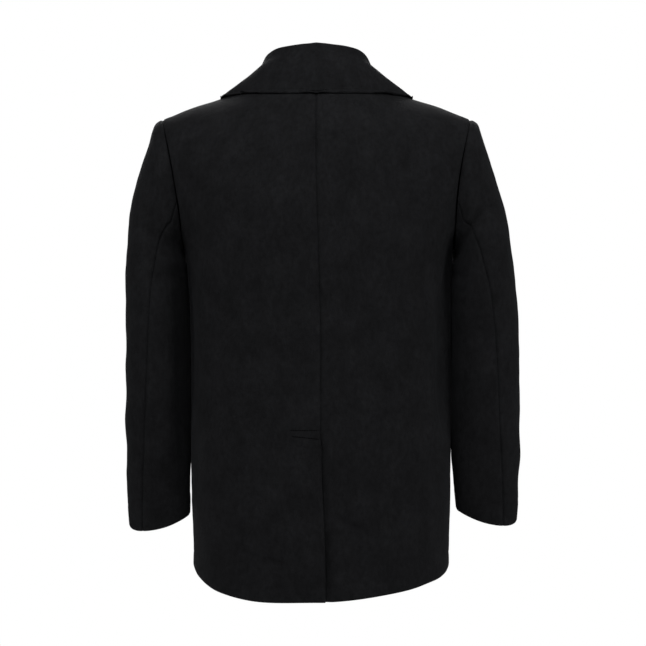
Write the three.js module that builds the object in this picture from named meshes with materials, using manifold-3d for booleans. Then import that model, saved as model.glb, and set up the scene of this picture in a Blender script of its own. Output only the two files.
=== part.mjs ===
// A double-breasted wool pea coat, filled out as if worn, with nobody in it.
// Millimetres, +Z up. The front faces -Y, and the wearer's left is +X.
// The origin lies in the middle of the neck, level with the back collar seam.
// Every point is first worked out for the wearer's left side. The right side is its mirror image.
import * as THREE from 'three';
import { mergeVertices } from 'three/addons/utils/BufferGeometryUtils.js';
import Module from 'manifold-3d';

const wasm = await Module();
wasm.setup();

// Cloth and seams
const wall = 3;
const seamGap = 0.3;
const layerGap = 0.9;
const layerStep = wall + layerGap;

// Heights
const napeZ = -2;
const neckPointZ = 6;
const shoulderTipZ = -62;
const underarmZ = -262;
const yokeCentreZ = { back: -150, front: -165 };
const hemSideZ = -738;
const hemDrop = { back: 34, front: 16 };

// Neckline, shoulders and armholes
const neckHalfWidth = 78;
const neckBackDepth = 62;
const shoulderHalfWidth = 235;
const armholeFootX = 205;
const armholeScoop = 8;
const armholeReach = { back: 73, front: 77 };
const shoulderLine = [
  { x: 78, z: 6 },
  { x: 110, z: -13.5 },
  { x: 145, z: -28.2 },
  { x: 190, z: -43 },
  { x: 235, z: -62 },
];

// Body: half width and depths from the neck's middle at each height, and how square a section is
const squareness = 2.4;
const bodySections = [
  { z: -790, side: 193.5, back: 158, front: 164 },
  { z: -700, side: 195, back: 153, front: 160 },
  { z: -600, side: 198, back: 146, front: 154 },
  { z: -480, side: 198, back: 137, front: 148 },
  { z: -370, side: 199, back: 132, front: 145 },
  { z: -304, side: 201.5, back: 135, front: 146 },
  { z: -262, side: 205, back: 138, front: 146 },
  { z: -205, side: 209, back: 137, front: 140 },
  { z: -150, side: 212, back: 128, front: 126 },
];

// The back's hem hangs a little lower on the wearer's left. The tilt grows from the centre to where it is
// full, and is gone before the side seam.
const hemTilt = { drop: 5, fullX: 110, fadeX: 150, endX: 195, topZ: -560, lowZ: -740 };

// How far the surface has turned over where it meets the neckline or the shoulder seam, in degrees
const topTurn = { backCentre: 45, backNeck: 62, frontRoll: 55, shoulder: 90 };

// Fronts: the left one laps over the right one, and both break open at the underarm's height
const overlap = 85;
const lapEdgeCover = 6;
const lapShoulder = 50;
const lapMargin = 30;
const lapelLoft = 1.25;
const lapFade = { low: 45, high: 80 };

// Vent of the back: its top, and how far and how wide its edge stands off at the hem. The underlap starts
// inside the right back's wall, at minus x, and runs to its own edge behind the left back.
const ventTopZ = -536;
const ventStandOff = { depth: 2.5, width: 55 };
const underlapStations = [
  { x: -16, depth: 1 },
  { x: -9, depth: 1.6 },
  { x: -1.5, depth: layerStep },
  { x: 12, depth: layerStep },
  { x: 28, depth: layerStep },
  { x: 44, depth: layerStep },
];
const underlapRowGap = 0.02;

// Soft drape folds of the back, from a top point to a low point
const backFolds = {
  left: [{ topX: 176, topZ: -165, lowX: 164, lowZ: -330, width: 17, depth: 5 }],
  right: [{ topX: 178, topZ: -175, lowX: 166, lowZ: -350, width: 17, depth: 4 }],
};

// The whole coat hangs a little to the wearer's right below the chest
const swayTopZ = -100;
const swayLowZ = -420;
const sway = -7;

// Grid steps
const backColumns = 14;
const neckColumns = 5;
const frontColumns = 14;
const skirtRows = 9;
const skirtCrowding = 1.4;
const armholeRows = 5;
const yokeRows = 8;

// Sleeve rings from the armhole to the cuff: outer and inner ends, reach to the back and the front
const sleeveRings = [
  { ring: 0, outX: 235, outZ: -62, inX: 205, inZ: -262, back: 73, front: 77, scoop: 8, square: 2 },
  { ring: 1, outX: 240.5, outZ: -64.8, inX: 205.4, inZ: -264, back: 76, front: 79.5, scoop: 5, square: 2 },
  { ring: 2, outX: 246, outZ: -69.3, inX: 205.8, inZ: -266, back: 77.5, front: 81, scoop: 2, square: 2 },
  { ring: 3, outX: 249.5, outZ: -77, inX: 206.2, inZ: -268, back: 78, front: 81.5, scoop: 0, square: 2.05 },
  { ring: 4, outX: 255.5, outZ: -97, inX: 206.2, inZ: -271, back: 77.5, front: 81, scoop: 0, square: 2.1 },
  { ring: 5, outX: 267, outZ: -133, inX: 206, inZ: -276, back: 76, front: 79.5, scoop: 0, square: 2.15 },
  { ring: 6, outX: 279, outZ: -170, inX: 205.3, inZ: -283, back: 74.5, front: 78, scoop: 0, square: 2.2 },
  { ring: 7, outX: 288, outZ: -210, inX: 204.4, inZ: -293, back: 73.5, front: 77, scoop: 0, square: 2.25 },
  { ring: 8, outX: 292.5, outZ: -252, inX: 203, inZ: -308, back: 72, front: 76, scoop: 0, square: 2.3 },
  { ring: 9, outX: 297, outZ: -304, inX: 201.4, inZ: -336, back: 70, front: 75, scoop: 0, square: 2.3 },
  { ring: 10, outX: 299.5, outZ: -365, inX: 200.2, inZ: -384, back: 67, front: 73, scoop: 0, square: 2.3 },
  { ring: 11, outX: 301, outZ: -435, inX: 199.5, inZ: -444, back: 64, front: 71, scoop: 0, square: 2.3 },
  { ring: 12, outX: 301.5, outZ: -510, inX: 199.4, inZ: -512, back: 57, front: 73, scoop: 0, square: 2.3 },
  { ring: 13, outX: 301, outZ: -580, inX: 200, inZ: -576, back: 45, front: 78, scoop: 0, square: 2.3 },
  { ring: 14, outX: 299.5, outZ: -638, inX: 203, inZ: -627, back: 31, front: 83, scoop: 0, square: 2.25 },
  { ring: 15, outX: 297, outZ: -691.5, inX: 205, inZ: -668, back: 17, front: 87, scoop: 0, square: 2.2 },
];

// The right cuff is drawn up a little, and both sleeves swing to the wearer's right, their outer sides from
// the upper arm down and their inner sides at the cuff. A cuff's edge runs level from its rounded outer
// corner and rises to its inner side.
const rightCuffLift = 8;
const cuffSwing = -3;
const cuffRise = 1.5;
const cuffCorner = { lift: 6, power: 12 };

// Sleeve seams, in degrees round the sleeve from its outer side: the elbow seam to the back, the inseam
// to the front
const seamAngles = [
  { ring: 0, elbow: 108, inseam: -126 },
  { ring: 3, elbow: 120, inseam: -126 },
  { ring: 5, elbow: 110, inseam: -126 },
  { ring: 8, elbow: 93, inseam: -126 },
  { ring: 10, elbow: 83, inseam: -124 },
  { ring: 12, elbow: 76, inseam: -120 },
  { ring: 15, elbow: 61, inseam: -116 },
];

// Collar: the line that its outer edge keeps above the back, and the roll by stations, from the centre
// back (0) over the neck point (1) to the front end (2). Lift is how high the fall stands off the coat
// next to the roll. The profile's stops count its nine guide points, and lie closer round the roll.
const collarEdgeHalfWidth = 147;
const collarEdgeLine = [
  { x: 0, z: -36 },
  { x: 60, z: -34.5 },
  { x: 92, z: -31 },
  { x: 126, z: -27.5 },
  { x: 147, z: -29.8 },
];
const collarEnd = { rollRow: 5 / 8, pointX: 136, pointZ: -72, notchX: 98 };
const collarRoll = [
  { station: 0, rise: 47, lift: 43, sideShape: 0 },
  { station: 0.5, rise: 41.5, lift: 33.5, sideShape: 0.1 },
  { station: 0.8, rise: 30.5, lift: 18, sideShape: 0.5 },
  { station: 1, rise: 22.5, lift: 9.5, sideShape: 0.9 },
  { station: 1.5, rise: 14, lift: 6, sideShape: 0.7 },
  { station: 2, rise: 8, lift: 3.5, sideShape: 0.3 },
];
const collarBackSteps = 10;
const collarFrontSteps = 6;
const collarFallShares = [0.14, 0.32, 0.52, 0.76, 1];
const collarProfileStops = [0, 1, 2, 2.5, 3, 3.4, 4, 4.5, 5, 6, 7, 8];
const collarEvenPasses = 2;

// Lapels: the point, and how far the free edge bellies outwards
const lapelPoint = { x: 146, z: -120 };
const lapelStart = { row: 1.03, along: 0.035 };
const lapelBelly = 6;
const lapelRows = 13;
const lapelPointRow = 10;
const lapelColumns = 9;
const lapelGap = 1.45;

// Pocket welts on the fronts, slanting outwards as they go down
const weltTop = { x: 118, z: -462 };
const weltLength = 165;
const weltWidth = 26;
const weltSlant = 9;
const weltInset = 0.4;

// Buttons: two columns on the left front
const buttonRadius = 15;
const buttonThickness = 4.6;
const buttonHoleRadius = 1.5;
const buttonHoleSpacing = 5.4;
const buttonColumnX = 64;
const buttonTopZ = -338;
const buttonPitch = 104;
const buttonRowCount = 3;

const wool = { color: 0x17181a, roughness: 0.92, metalness: 0 };
const undercollarWool = { color: 0x1a1b1d, roughness: 0.92, metalness: 0 };
const plastic = { color: 0x0c0c0d, roughness: 0.35, metalness: 0 };

const coat = new THREE.Group();

// Small helpers

function mix(from, to, share) {
  return from + (to - from) * share;
}

// 0 before the first value, 1 past the second, and a soft step between them
function ramp(value, from, to) {
  const share = Math.min(Math.max((value - from) / (to - from), 0), 1);
  return share * share * (3 - 2 * share);
}

function signedPower(value, exponent) {
  return Math.sign(value) * Math.abs(value) ** exponent;
}

// A table's row at any position of its key column, on smooth curves through the rows
function rowAt(table, key, position) {
  const last = table.length - 1;
  const place = Math.min(Math.max(position, table[0][key]), table[last][key]);
  let low = 0;
  while (low < last - 1 && place > table[low + 1][key]) {
    low += 1;
  }
  const span = table[low + 1][key] - table[low][key];
  const share = (place - table[low][key]) / span;
  const row = {};
  for (const column of Object.keys(table[0])) {
    const slopes = [low, low + 1].map((index) => {
      const before = table[Math.max(index - 1, 0)];
      const after = table[Math.min(index + 1, last)];
      return (after[column] - before[column]) / (after[key] - before[key]);
    });
    const start = table[low][column];
    const end = table[low + 1][column];
    const startPart = (1 + 2 * share) * (1 - share) ** 2 * start;
    const endPart = share ** 2 * (3 - 2 * share) * end;
    const startSlope = share * (1 - share) ** 2 * slopes[0] * span;
    const endSlope = share ** 2 * (share - 1) * slopes[1] * span;
    row[column] = startPart + endPart + startSlope + endSlope;
  }
  return row;
}

// A point of the left side, put on its own side and swayed with the coat
function settle(point, side) {
  const mirror = side === 'left' ? 1 : -1;
  const lean = sway * ramp(-point.z, -swayTopZ, -swayLowZ);
  return new THREE.Vector3(mirror * point.x + lean, point.y, point.z);
}

// Form of the body

// The armhole's seam, by the angle in degrees from the shoulder tip down to the underarm
function armholePoint(half, angle) {
  const turn = THREE.MathUtils.degToRad(angle);
  const middleX = (shoulderHalfWidth + armholeFootX) / 2;
  const reachX = (shoulderHalfWidth - armholeFootX) / 2;
  const middleZ = (shoulderTipZ + underarmZ) / 2;
  const reachZ = (shoulderTipZ - underarmZ) / 2;
  const outward = half === 'back' ? 1 : -1;
  return new THREE.Vector3(
    middleX + reachX * Math.cos(turn) - armholeScoop * Math.sin(turn) ** 2,
    outward * armholeReach[half] * Math.sin(turn),
    middleZ + reachZ * Math.cos(turn),
  );
}

// The line that the lapel rolls on, from the front's edge at the break up to the neck point
function rollLineX(z) {
  const share = (z - underarmZ) / (neckPointZ - underarmZ);
  return mix(-overlap, neckHalfWidth, Math.max(share, 0));
}

// A level line of half the body, from the centre back or the front's edge (0) to its outer end (1)
function levelLine(half, share, centreZ, outerEnd) {
  const section = rowAt(bodySections, 'z', centreZ);
  const depth = half === 'back' ? section.back : -section.front;
  const reach = Math.abs(outerEnd.y / depth);
  const halfWidth = outerEnd.x / (1 - reach ** squareness) ** (1 / squareness);
  const endAngle = Math.asin(Math.min((outerEnd.x / halfWidth) ** (squareness / 2), 1));
  const startX = half === 'back' ? 0 : rollLineX(centreZ);
  const startAngle = Math.asin(signedPower(startX / halfWidth, squareness / 2));
  const angle = mix(startAngle, endAngle, share);
  const x = halfWidth * signedPower(Math.sin(angle), 2 / squareness);
  const y = depth * Math.cos(angle) ** (2 / squareness);
  return new THREE.Vector3(x, y, mix(centreZ, outerEnd.z, (x / outerEnd.x) ** 2));
}

// From the hem (0) to the underarm (1)
function skirtPoint(half, share, row) {
  const outer = rowAt(bodySections, 'z', mix(hemSideZ, underarmZ, row));
  const outerEnd = new THREE.Vector3(outer.side, 0, outer.z);
  const point = levelLine(half, share, outer.z, outerEnd);
  const nearness = Math.abs(point.y) / (half === 'back' ? outer.back : outer.front);
  point.z -= hemDrop[half] * nearness ** 1.4 * (1 - row);
  return point;
}

// From the underarm (0) to the widest point of the armhole (1)
function armholeLevelPoint(half, share, row) {
  const centreZ = mix(underarmZ, yokeCentreZ[half], 1 - Math.cos((row * Math.PI) / 2));
  return levelLine(half, share, centreZ, armholePoint(half, 180 - 90 * row));
}

// The top edge of a panel: back neckline and shoulder seam, or the front's shoulder seam
function topEdge(half, share) {
  const neckShare = half === 'back' ? neckColumns / backColumns : 0;
  if (share < neckShare) {
    const turn = ((share / neckShare) * Math.PI) / 2;
    return new THREE.Vector3(
      neckHalfWidth * Math.sin(turn),
      neckBackDepth * Math.cos(turn),
      mix(napeZ, neckPointZ, 1 - Math.cos(turn)),
    );
  }
  const x = mix(neckHalfWidth, shoulderHalfWidth, (share - neckShare) / (1 - neckShare));
  return new THREE.Vector3(x, 0, rowAt(shoulderLine, 'x', x).z);
}

function topTurnAt(half, share) {
  if (half === 'front') {
    return mix(topTurn.frontRoll, topTurn.shoulder, share);
  }
  const neckShare = neckColumns / backColumns;
  if (share < neckShare) {
    return mix(topTurn.backCentre, topTurn.backNeck, share / neckShare);
  }
  return mix(topTurn.backNeck, topTurn.shoulder, (share - neckShare) / (1 - neckShare));
}

// From the widest point of the armhole (0) over the shoulder blade or the chest to the top edge (1)
function yokePoint(half, share, row) {
  const foot = armholeLevelPoint(half, share, 1);
  const top = topEdge(half, share);
  const endTurn = THREE.MathUtils.degToRad(topTurnAt(half, share));
  const turn = endTurn * row;
  const outwards = (Math.cos(turn) - Math.cos(endTurn)) / (1 - Math.cos(endTurn));
  const rise = Math.sin(turn) / Math.sin(endTurn);
  const flare = (shoulderHalfWidth - armholeFootX) / 2;
  const linear = flare / (flare + armholeScoop);
  const spread = linear * rise + (1 - linear) * rise * rise;
  return new THREE.Vector3(
    mix(foot.x, top.x, spread),
    mix(top.y, foot.y, outwards),
    mix(foot.z, top.z, rise),
  );
}

// The smooth form under all folds and layers. Row: 0 hem, 1 underarm, 2 armhole's middle, 3 top edge
function formPoint(half, share, row) {
  if (row < 1) {
    return skirtPoint(half, share, row);
  }
  if (row < 2) {
    return armholeLevelPoint(half, share, row - 1);
  }
  return yokePoint(half, share, row - 2);
}

function formNormal(half, share, row) {
  const small = 0.004;
  const left = formPoint(half, Math.max(share - small, 0), row);
  const right = formPoint(half, Math.min(share + small, 1), row);
  const below = formPoint(half, share, Math.max(row - small, 0));
  const above = formPoint(half, share, Math.min(row + small, 3));
  const normal = right.sub(left).cross(above.sub(below)).normalize();
  return half === 'back' ? normal.negate() : normal;
}

// The share and row where the form has two given coordinates, found by stepping towards them
function findOnForm(half, wanted, guess) {
  const keys = Object.keys(wanted);
  const small = 0.0005;
  let share = guess.share;
  let row = guess.row;
  for (let step = 0; step < 60; step += 1) {
    const here = formPoint(half, share, row);
    const shareSign = share > 0.5 ? -small : small;
    const rowSign = row > 2.5 ? -small : small;
    const alongShare = formPoint(half, share + shareSign, row);
    const alongRow = formPoint(half, share, row + rowSign);
    const errors = keys.map((key) => wanted[key] - here[key]);
    const byShare = keys.map((key) => (alongShare[key] - here[key]) / shareSign);
    const byRow = keys.map((key) => (alongRow[key] - here[key]) / rowSign);
    const scale = byShare[0] * byRow[1] - byShare[1] * byRow[0];
    const shareStep = (errors[0] * byRow[1] - errors[1] * byRow[0]) / scale;
    const rowStep = (byShare[0] * errors[1] - byShare[1] * errors[0]) / scale;
    share = Math.min(Math.max(share + THREE.MathUtils.clamp(shareStep, -0.1, 0.1), 0), 1);
    row = Math.min(Math.max(row + THREE.MathUtils.clamp(rowStep, -0.2, 0.2), 0), 3);
  }
  return { share, row };
}

// Folds and layers on the form

function foldDepth(folds, point) {
  let depth = 0;
  for (const fold of folds) {
    const along = (point.z - fold.topZ) / (fold.lowZ - fold.topZ);
    const middleX = mix(fold.topX, fold.lowX, along);
    const across = (point.x - middleX) / fold.width;
    const fade = ramp(along, 0, 0.3) * (1 - ramp(along, 0.6, 1));
    depth += fold.depth * fade * Math.exp(-across * across);
  }
  return depth;
}

// How far the left front is pushed out by the right front, and by its lapel, under it
function lapLift(point) {
  const coveredX = overlap + lapEdgeCover;
  const underneath = 1 - ramp(point.x, coveredX, coveredX + lapShoulder);
  const height = point.z - underarmZ;
  const rise = (neckPointZ - underarmZ) / (neckHalfWidth + overlap);
  const lapelRise = (lapelPoint.z - underarmZ) / (lapelPoint.x + overlap);
  const aboveRoll = height - (overlap - point.x) * rise;
  const aboveLapelEdge = height - (overlap - point.x) * lapelRise;
  const onFront = underneath * (1 - ramp(aboveRoll, lapMargin, lapMargin + lapFade.high));
  const onLapel = ramp(aboveLapelEdge, -lapMargin - lapFade.low, -lapMargin);
  return layerStep * onFront * (1 + lapelLoft * onLapel);
}

function frontLift(point, side) {
  return side === 'left' ? lapLift(point) : 0;
}

// Solids from grids of points

// A closed wall from a grid of outer points and the same grid of inner points
function wallGeometry(outer, inner) {
  const rows = outer.length;
  const columns = outer[0].length;
  const points = [...outer.flat(), ...inner.flat()];
  const innerStart = rows * columns;
  const faces = [];
  const addQuad = (a, b, c, d) => {
    if (points[a].distanceTo(points[c]) <= points[b].distanceTo(points[d])) {
      faces.push(a, b, c, a, c, d);
    } else {
      faces.push(a, b, d, b, c, d);
    }
  };
  for (let row = 0; row < rows - 1; row += 1) {
    for (let column = 0; column < columns - 1; column += 1) {
      const a = row * columns + column;
      const corners = [a, a + 1, a + columns + 1, a + columns];
      addQuad(...corners);
      const behind = corners.map((corner) => corner + innerStart);
      addQuad(behind[0], behind[3], behind[2], behind[1]);
    }
  }
  const border = [];
  for (let column = 0; column < columns - 1; column += 1) {
    border.push(column);
  }
  for (let row = 0; row < rows - 1; row += 1) {
    border.push(row * columns + columns - 1);
  }
  for (let column = columns - 1; column > 0; column -= 1) {
    border.push((rows - 1) * columns + column);
  }
  for (let row = rows - 1; row > 0; row -= 1) {
    border.push(row * columns);
  }
  border.forEach((corner, index) => {
    const next = border[(index + 1) % border.length];
    addQuad(next, corner, corner + innerStart, next + innerStart);
  });
  return closedGeometry(points, faces);
}

function closedGeometry(points, faces) {
  let volume = 0;
  for (let index = 0; index < faces.length; index += 3) {
    const [a, b, c] = [0, 1, 2].map((corner) => points[faces[index + corner]]);
    volume += a.dot(new THREE.Vector3().crossVectors(b, c));
  }
  const outwardFaces = volume > 0 ? faces : faces.toReversed();
  const geometry = new THREE.BufferGeometry();
  const flat = points.flatMap((point) => [point.x, point.y, point.z]);
  geometry.setAttribute('position', new THREE.Float32BufferAttribute(flat, 3));
  geometry.setIndex(outwardFaces);
  return geometry;
}

function addPiece(name, geometry, finish) {
  geometry.computeVertexNormals();
  const mesh = new THREE.Mesh(geometry, new THREE.MeshStandardMaterial(finish));
  mesh.name = name;
  coat.add(mesh);
}

function toSolid(geometry) {
  const bare = new THREE.BufferGeometry();
  bare.setAttribute('position', geometry.getAttribute('position').clone());
  if (geometry.index) {
    bare.setIndex(geometry.index.clone());
  }
  const merged = mergeVertices(bare, 1e-4);
  const source = { numProp: 3, vertProperties: merged.getAttribute('position').array };
  return new wasm.Manifold(new wasm.Mesh({ ...source, triVerts: new Uint32Array(merged.index.array) }));
}

function toGeometry(solid) {
  const mesh = solid.getMesh();
  const geometry = new THREE.BufferGeometry();
  geometry.setAttribute('position', new THREE.Float32BufferAttribute(mesh.vertProperties, 3));
  geometry.setIndex(Array.from(mesh.triVerts));
  return geometry;
}

// Body panels

// The direction from the outer face to the inner one. Next to a seam both pieces share it.
function wallDirection(half, share, row) {
  const normal = formNormal(half, share, row);
  const point = formPoint(half, share, row);
  const onSide = share === 1;
  const onShoulder = row === 3 && point.y === 0;
  if (onSide && row >= 1) {
    const middleZ = (shoulderTipZ + underarmZ) / 2;
    normal.set(0, point.y, point.z - middleZ);
  } else if (onSide || onShoulder) {
    normal.y = 0;
  } else if (half === 'back' && share === 0) {
    normal.x = 0;
  }
  return normal.normalize().negate();
}

// Half of each seam's gap, taken from the edge of a panel
function seamShift(half, share, row) {
  const shift = new THREE.Vector3();
  const towardsPanel = half === 'back' ? 1 : -1;
  if (half === 'back' && share === 0) {
    shift.x = seamGap / 2;
  }
  if (share === 1 && row <= 1) {
    shift.y = (towardsPanel * seamGap) / 2;
  }
  if (row === 3 && formPoint(half, share, row).y === 0) {
    shift.y = (towardsPanel * seamGap) / 2;
  }
  if (share === 1 && row >= 1) {
    shift.x = -seamGap / 2;
  }
  return shift;
}

function panelRows() {
  const rows = [];
  for (let row = 0; row < skirtRows; row += 1) {
    rows.push(1 - (1 - row / skirtRows) ** skirtCrowding);
  }
  for (let row = 0; row < armholeRows; row += 1) {
    rows.push(1 + row / armholeRows);
  }
  for (let row = 0; row <= yokeRows; row += 1) {
    rows.push(2 + row / yokeRows);
  }
  return rows;
}

function panelGeometry(half, side, columns, push) {
  const outer = [];
  const inner = [];
  for (const row of panelRows()) {
    const outerRow = [];
    const innerRow = [];
    for (let column = 0; column <= columns; column += 1) {
      const share = column / columns;
      const point = formPoint(half, share, row);
      const inwards = wallDirection(half, share, row);
      const lift = push(point);
      point.addScaledVector(inwards, -lift).add(seamShift(half, share, row));
      point.z -= half === 'back' ? backHemTilt(point, side) : 0;
      outerRow.push(settle(point, side));
      innerRow.push(settle(point.clone().addScaledVector(inwards, wall), side));
    }
    outer.push(outerRow);
    inner.push(innerRow);
  }
  return wallGeometry(outer, inner);
}

function backHemTilt(point, side) {
  const sign = side === 'left' ? 1 : -1;
  const outwards = ramp(point.x, 0, hemTilt.fullX) * (1 - ramp(point.x, hemTilt.fadeX, hemTilt.endX));
  return sign * hemTilt.drop * outwards * ramp(-point.z, -hemTilt.topZ, -hemTilt.lowZ);
}

// The left back's edge stands off a little along the vent
function ventLift(point, side) {
  if (side === 'right') {
    return 0;
  }
  const nearEdge = 1 - ramp(point.x, 0, ventStandOff.width);
  return ventStandOff.depth * nearEdge * ramp(-point.z, -ventTopZ, -hemSideZ);
}

function addBack(side) {
  const push = (point) => ventLift(point, side) - foldDepth(backFolds[side], point);
  const panel = panelGeometry('back', side, backColumns, push);
  if (side === 'left') {
    addPiece('back_left', panel, wool);
    return;
  }
  const whole = toSolid(panel).add(toSolid(underlapGeometry()));
  addPiece('back_right', toGeometry(whole), wool);
}

// The vent's underlap. Its rows follow the left side's form.
function underlapGeometry() {
  const outer = [];
  const inner = [];
  const topRow = (ventTopZ - hemSideZ + hemDrop.back) / (underarmZ - hemSideZ + hemDrop.back);
  const ventRows = [...panelRows().filter((row) => row < topRow - underlapRowGap), topRow];
  for (const row of ventRows) {
    const outerRow = [];
    const innerRow = [];
    const level = formPoint('back', 0, row).z;
    for (const station of underlapStations) {
      const guess = { share: 0.1, row };
      const found = findOnForm('back', { x: Math.abs(station.x), z: level }, guess);
      const point = formPoint('back', found.share, found.row);
      const inwards = formNormal('back', found.share, found.row).negate();
      if (station.x < 0) {
        point.x = -point.x;
        inwards.x = -inwards.x;
      }
      outerRow.push(settle(point.clone().addScaledVector(inwards, station.depth), 'left'));
      innerRow.push(settle(point.clone().addScaledVector(inwards, station.depth + wall), 'left'));
    }
    outer.push(outerRow);
    inner.push(innerRow);
  }
  return wallGeometry(outer, inner);
}

function addFront(side) {
  const panel = panelGeometry('front', side, frontColumns, (point) => frontLift(point, side));
  addPiece(`front_${side}`, panel, wool);
}

// Points on a front, given by their place seen from the front
function onFront(x, z, side) {
  const guess = { share: THREE.MathUtils.clamp(x / 220, 0.1, 0.9), row: z < underarmZ ? 0.8 : 2.2 };
  const found = findOnForm('front', { x, z }, guess);
  const point = formPoint('front', found.share, found.row);
  const normal = formNormal('front', found.share, found.row);
  point.addScaledVector(normal, frontLift(point, side));
  return { point, normal };
}

// Lapels

// The notch lies on the straight line of the collar's front end
function lapelNotch() {
  const roll = formPoint('front', 0, 2 + collarEnd.rollRow);
  const slope = (collarEnd.pointZ - roll.z) / (collarEnd.pointX - roll.x);
  return { x: collarEnd.notchX, z: roll.z + slope * (collarEnd.notchX - roll.x) };
}

function addLapel(side) {
  const notch = lapelNotch();
  const breakPoint = { x: -overlap, z: underarmZ };
  const outer = [];
  const inner = [];
  for (let row = 0; row <= lapelRows; row += 1) {
    const share = row / lapelRows;
    const start = formPoint('front', 0, mix(lapelStart.row, 2 + collarEnd.rollRow, share));
    const end = {};
    if (row <= lapelPointRow) {
      const along = mix(lapelStart.along, 1, row / lapelPointRow);
      end.x = mix(breakPoint.x, lapelPoint.x, along);
      end.z = mix(breakPoint.z, lapelPoint.z, along) - lapelBelly * Math.sin(along * Math.PI);
    } else {
      const along = (row - lapelPointRow) / (lapelRows - lapelPointRow);
      end.x = mix(lapelPoint.x, notch.x, along);
      end.z = mix(lapelPoint.z, notch.z, along);
    }
    const outerRow = [];
    const innerRow = [];
    for (let column = 0; column <= lapelColumns; column += 1) {
      const across = column / lapelColumns;
      const x = mix(start.x, end.x, across);
      const z = mix(start.z, end.z, across) - (row === lapelRows ? seamGap : 0);
      const { point, normal } = onFront(x, z, side);
      outerRow.push(settle(point.clone().addScaledVector(normal, lapelGap + wall), side));
      innerRow.push(settle(point.clone().addScaledVector(normal, lapelGap), side));
    }
    outer.push(outerRow);
    inner.push(innerRow);
  }
  addPiece(`lapel_${side}`, wallGeometry(outer, inner), wool);
}

// Collar

// The collar's seam line on the left side, by station
function collarSeam(station) {
  if (station <= 1) {
    return topEdge('back', (station * neckColumns) / backColumns);
  }
  const row = mix(3, 2 + collarEnd.rollRow, station - 1);
  return formPoint('front', 0, row);
}

// The outer edge of the collar in plan, by station
function collarEdge(station, endPoint) {
  if (station <= 1) {
    const x = collarEdgeHalfWidth * Math.sin((station * Math.PI) / 2);
    const { z } = rowAt(collarEdgeLine, 'x', x);
    const found = findOnForm('back', { x, z }, { share: x / 230, row: 2.75 });
    const { y } = formPoint('back', found.share, found.row);
    return new THREE.Vector2(x, station === 1 ? 0 : y);
  }
  const share = station - 1;
  return new THREE.Vector2(mix(collarEdgeHalfWidth, endPoint.x, share * share), endPoint.y * share);
}

// Where a plan point lies on the coat
function onCoat(x, y) {
  const half = y >= 0 ? 'back' : 'front';
  const guess = { share: THREE.MathUtils.clamp(x / 230, 0.05, 0.95), row: 2.7 };
  const found = findOnForm(half, { x, y }, guess);
  return {
    point: formPoint(half, found.share, found.row),
    normal: formNormal(half, found.share, found.row),
  };
}

function collarProfile(station, endPoint) {
  const roll = rowAt(collarRoll, 'station', station);
  const seam = collarSeam(station);
  const edge = collarEdge(station, endPoint);
  const outwards = new THREE.Vector3(edge.x - seam.x, edge.y - seam.y, 0).normalize();
  const upright = (out, up) => {
    const point = seam.clone().addScaledVector(outwards, out);
    point.z += up;
    return point;
  };
  const points = [
    upright(-wall / 2, seamGap + 0.3),
    upright(-wall / 2 - 1, roll.rise * 0.45),
    upright(-wall / 2 - 2, roll.rise * 0.8),
    upright(1, roll.rise - wall / 2),
  ];
  const up = new THREE.Vector3(0, 0, 1);
  for (const share of collarFallShares) {
    const bow = station > 1 ? (station - 1) ** 2 * collarEndBow(share, endPoint) : 0;
    const x = mix(seam.x, edge.x, share);
    const y = mix(seam.y, edge.y, share) + bow;
    const base = onCoat(x, y);
    const fading = mix((1 - share) ** 1.2, 1 - share ** 3, roll.sideShape);
    const lift = layerGap + wall / 2 + roll.lift * fading;
    const direction = up.clone().lerp(base.normal, share).normalize();
    points.push(base.point.addScaledVector(direction, lift));
  }
  const curve = new THREE.CatmullRomCurve3(points, false, 'centripetal');
  return collarProfileStops.map((stop) => curve.getPoint(stop / (points.length - 1)));
}

// How far the collar's front end bows forwards of a straight line in plan
function collarEndBow(share, endPoint) {
  const start = formPoint('front', 0, 2 + collarEnd.rollRow);
  const x = mix(start.x, endPoint.x, share);
  const z = mix(start.z, endPoint.z, share);
  const found = findOnForm('front', { x, z }, { share: 0.4, row: 2.5 });
  return formPoint('front', found.share, found.row).y - mix(start.y, endPoint.y, share);
}

function addCollar() {
  const corner = { x: collarEnd.pointX, z: collarEnd.pointZ };
  const found = findOnForm('front', corner, { share: 0.5, row: 2.5 });
  const endPoint = formPoint('front', found.share, found.row);
  const stations = [];
  for (let step = 0; step <= collarBackSteps; step += 1) {
    stations.push(step / collarBackSteps);
  }
  for (let step = 1; step <= collarFrontSteps; step += 1) {
    stations.push(1 + step / collarFrontSteps);
  }
  const leftHalf = evened(stations.map((station) => collarProfile(station, endPoint)));
  const rightHalf = leftHalf.slice(1).toReversed();
  const middle = [
    ...rightHalf.map((profile) => profile.map((point) => settle(point, 'right'))),
    ...leftHalf.map((profile) => profile.map((point) => settle(point, 'left'))),
  ];
  const outer = offsetGrid(middle, wall / 2);
  const inner = offsetGrid(middle, -wall / 2);
  addPiece('collar', wallGeometry(outer, inner), undercollarWool);
}

// The collar's lines evened out along the neck. Its seam, its ends and its outer edge stay as they are.
function evened(profiles) {
  let lines = profiles;
  for (let pass = 0; pass < collarEvenPasses; pass += 1) {
    lines = lines.map((line, index) => line.map((point, column) => {
      const isFixed = index === 0 || index === lines.length - 1 || column === 0;
      if (isFixed || column === line.length - 1) {
        return point.clone();
      }
      const between = lines[index - 1][column].clone().lerp(lines[index + 1][column], 0.5);
      return point.clone().lerp(between, 0.5);
    }));
  }
  return lines;
}

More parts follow.
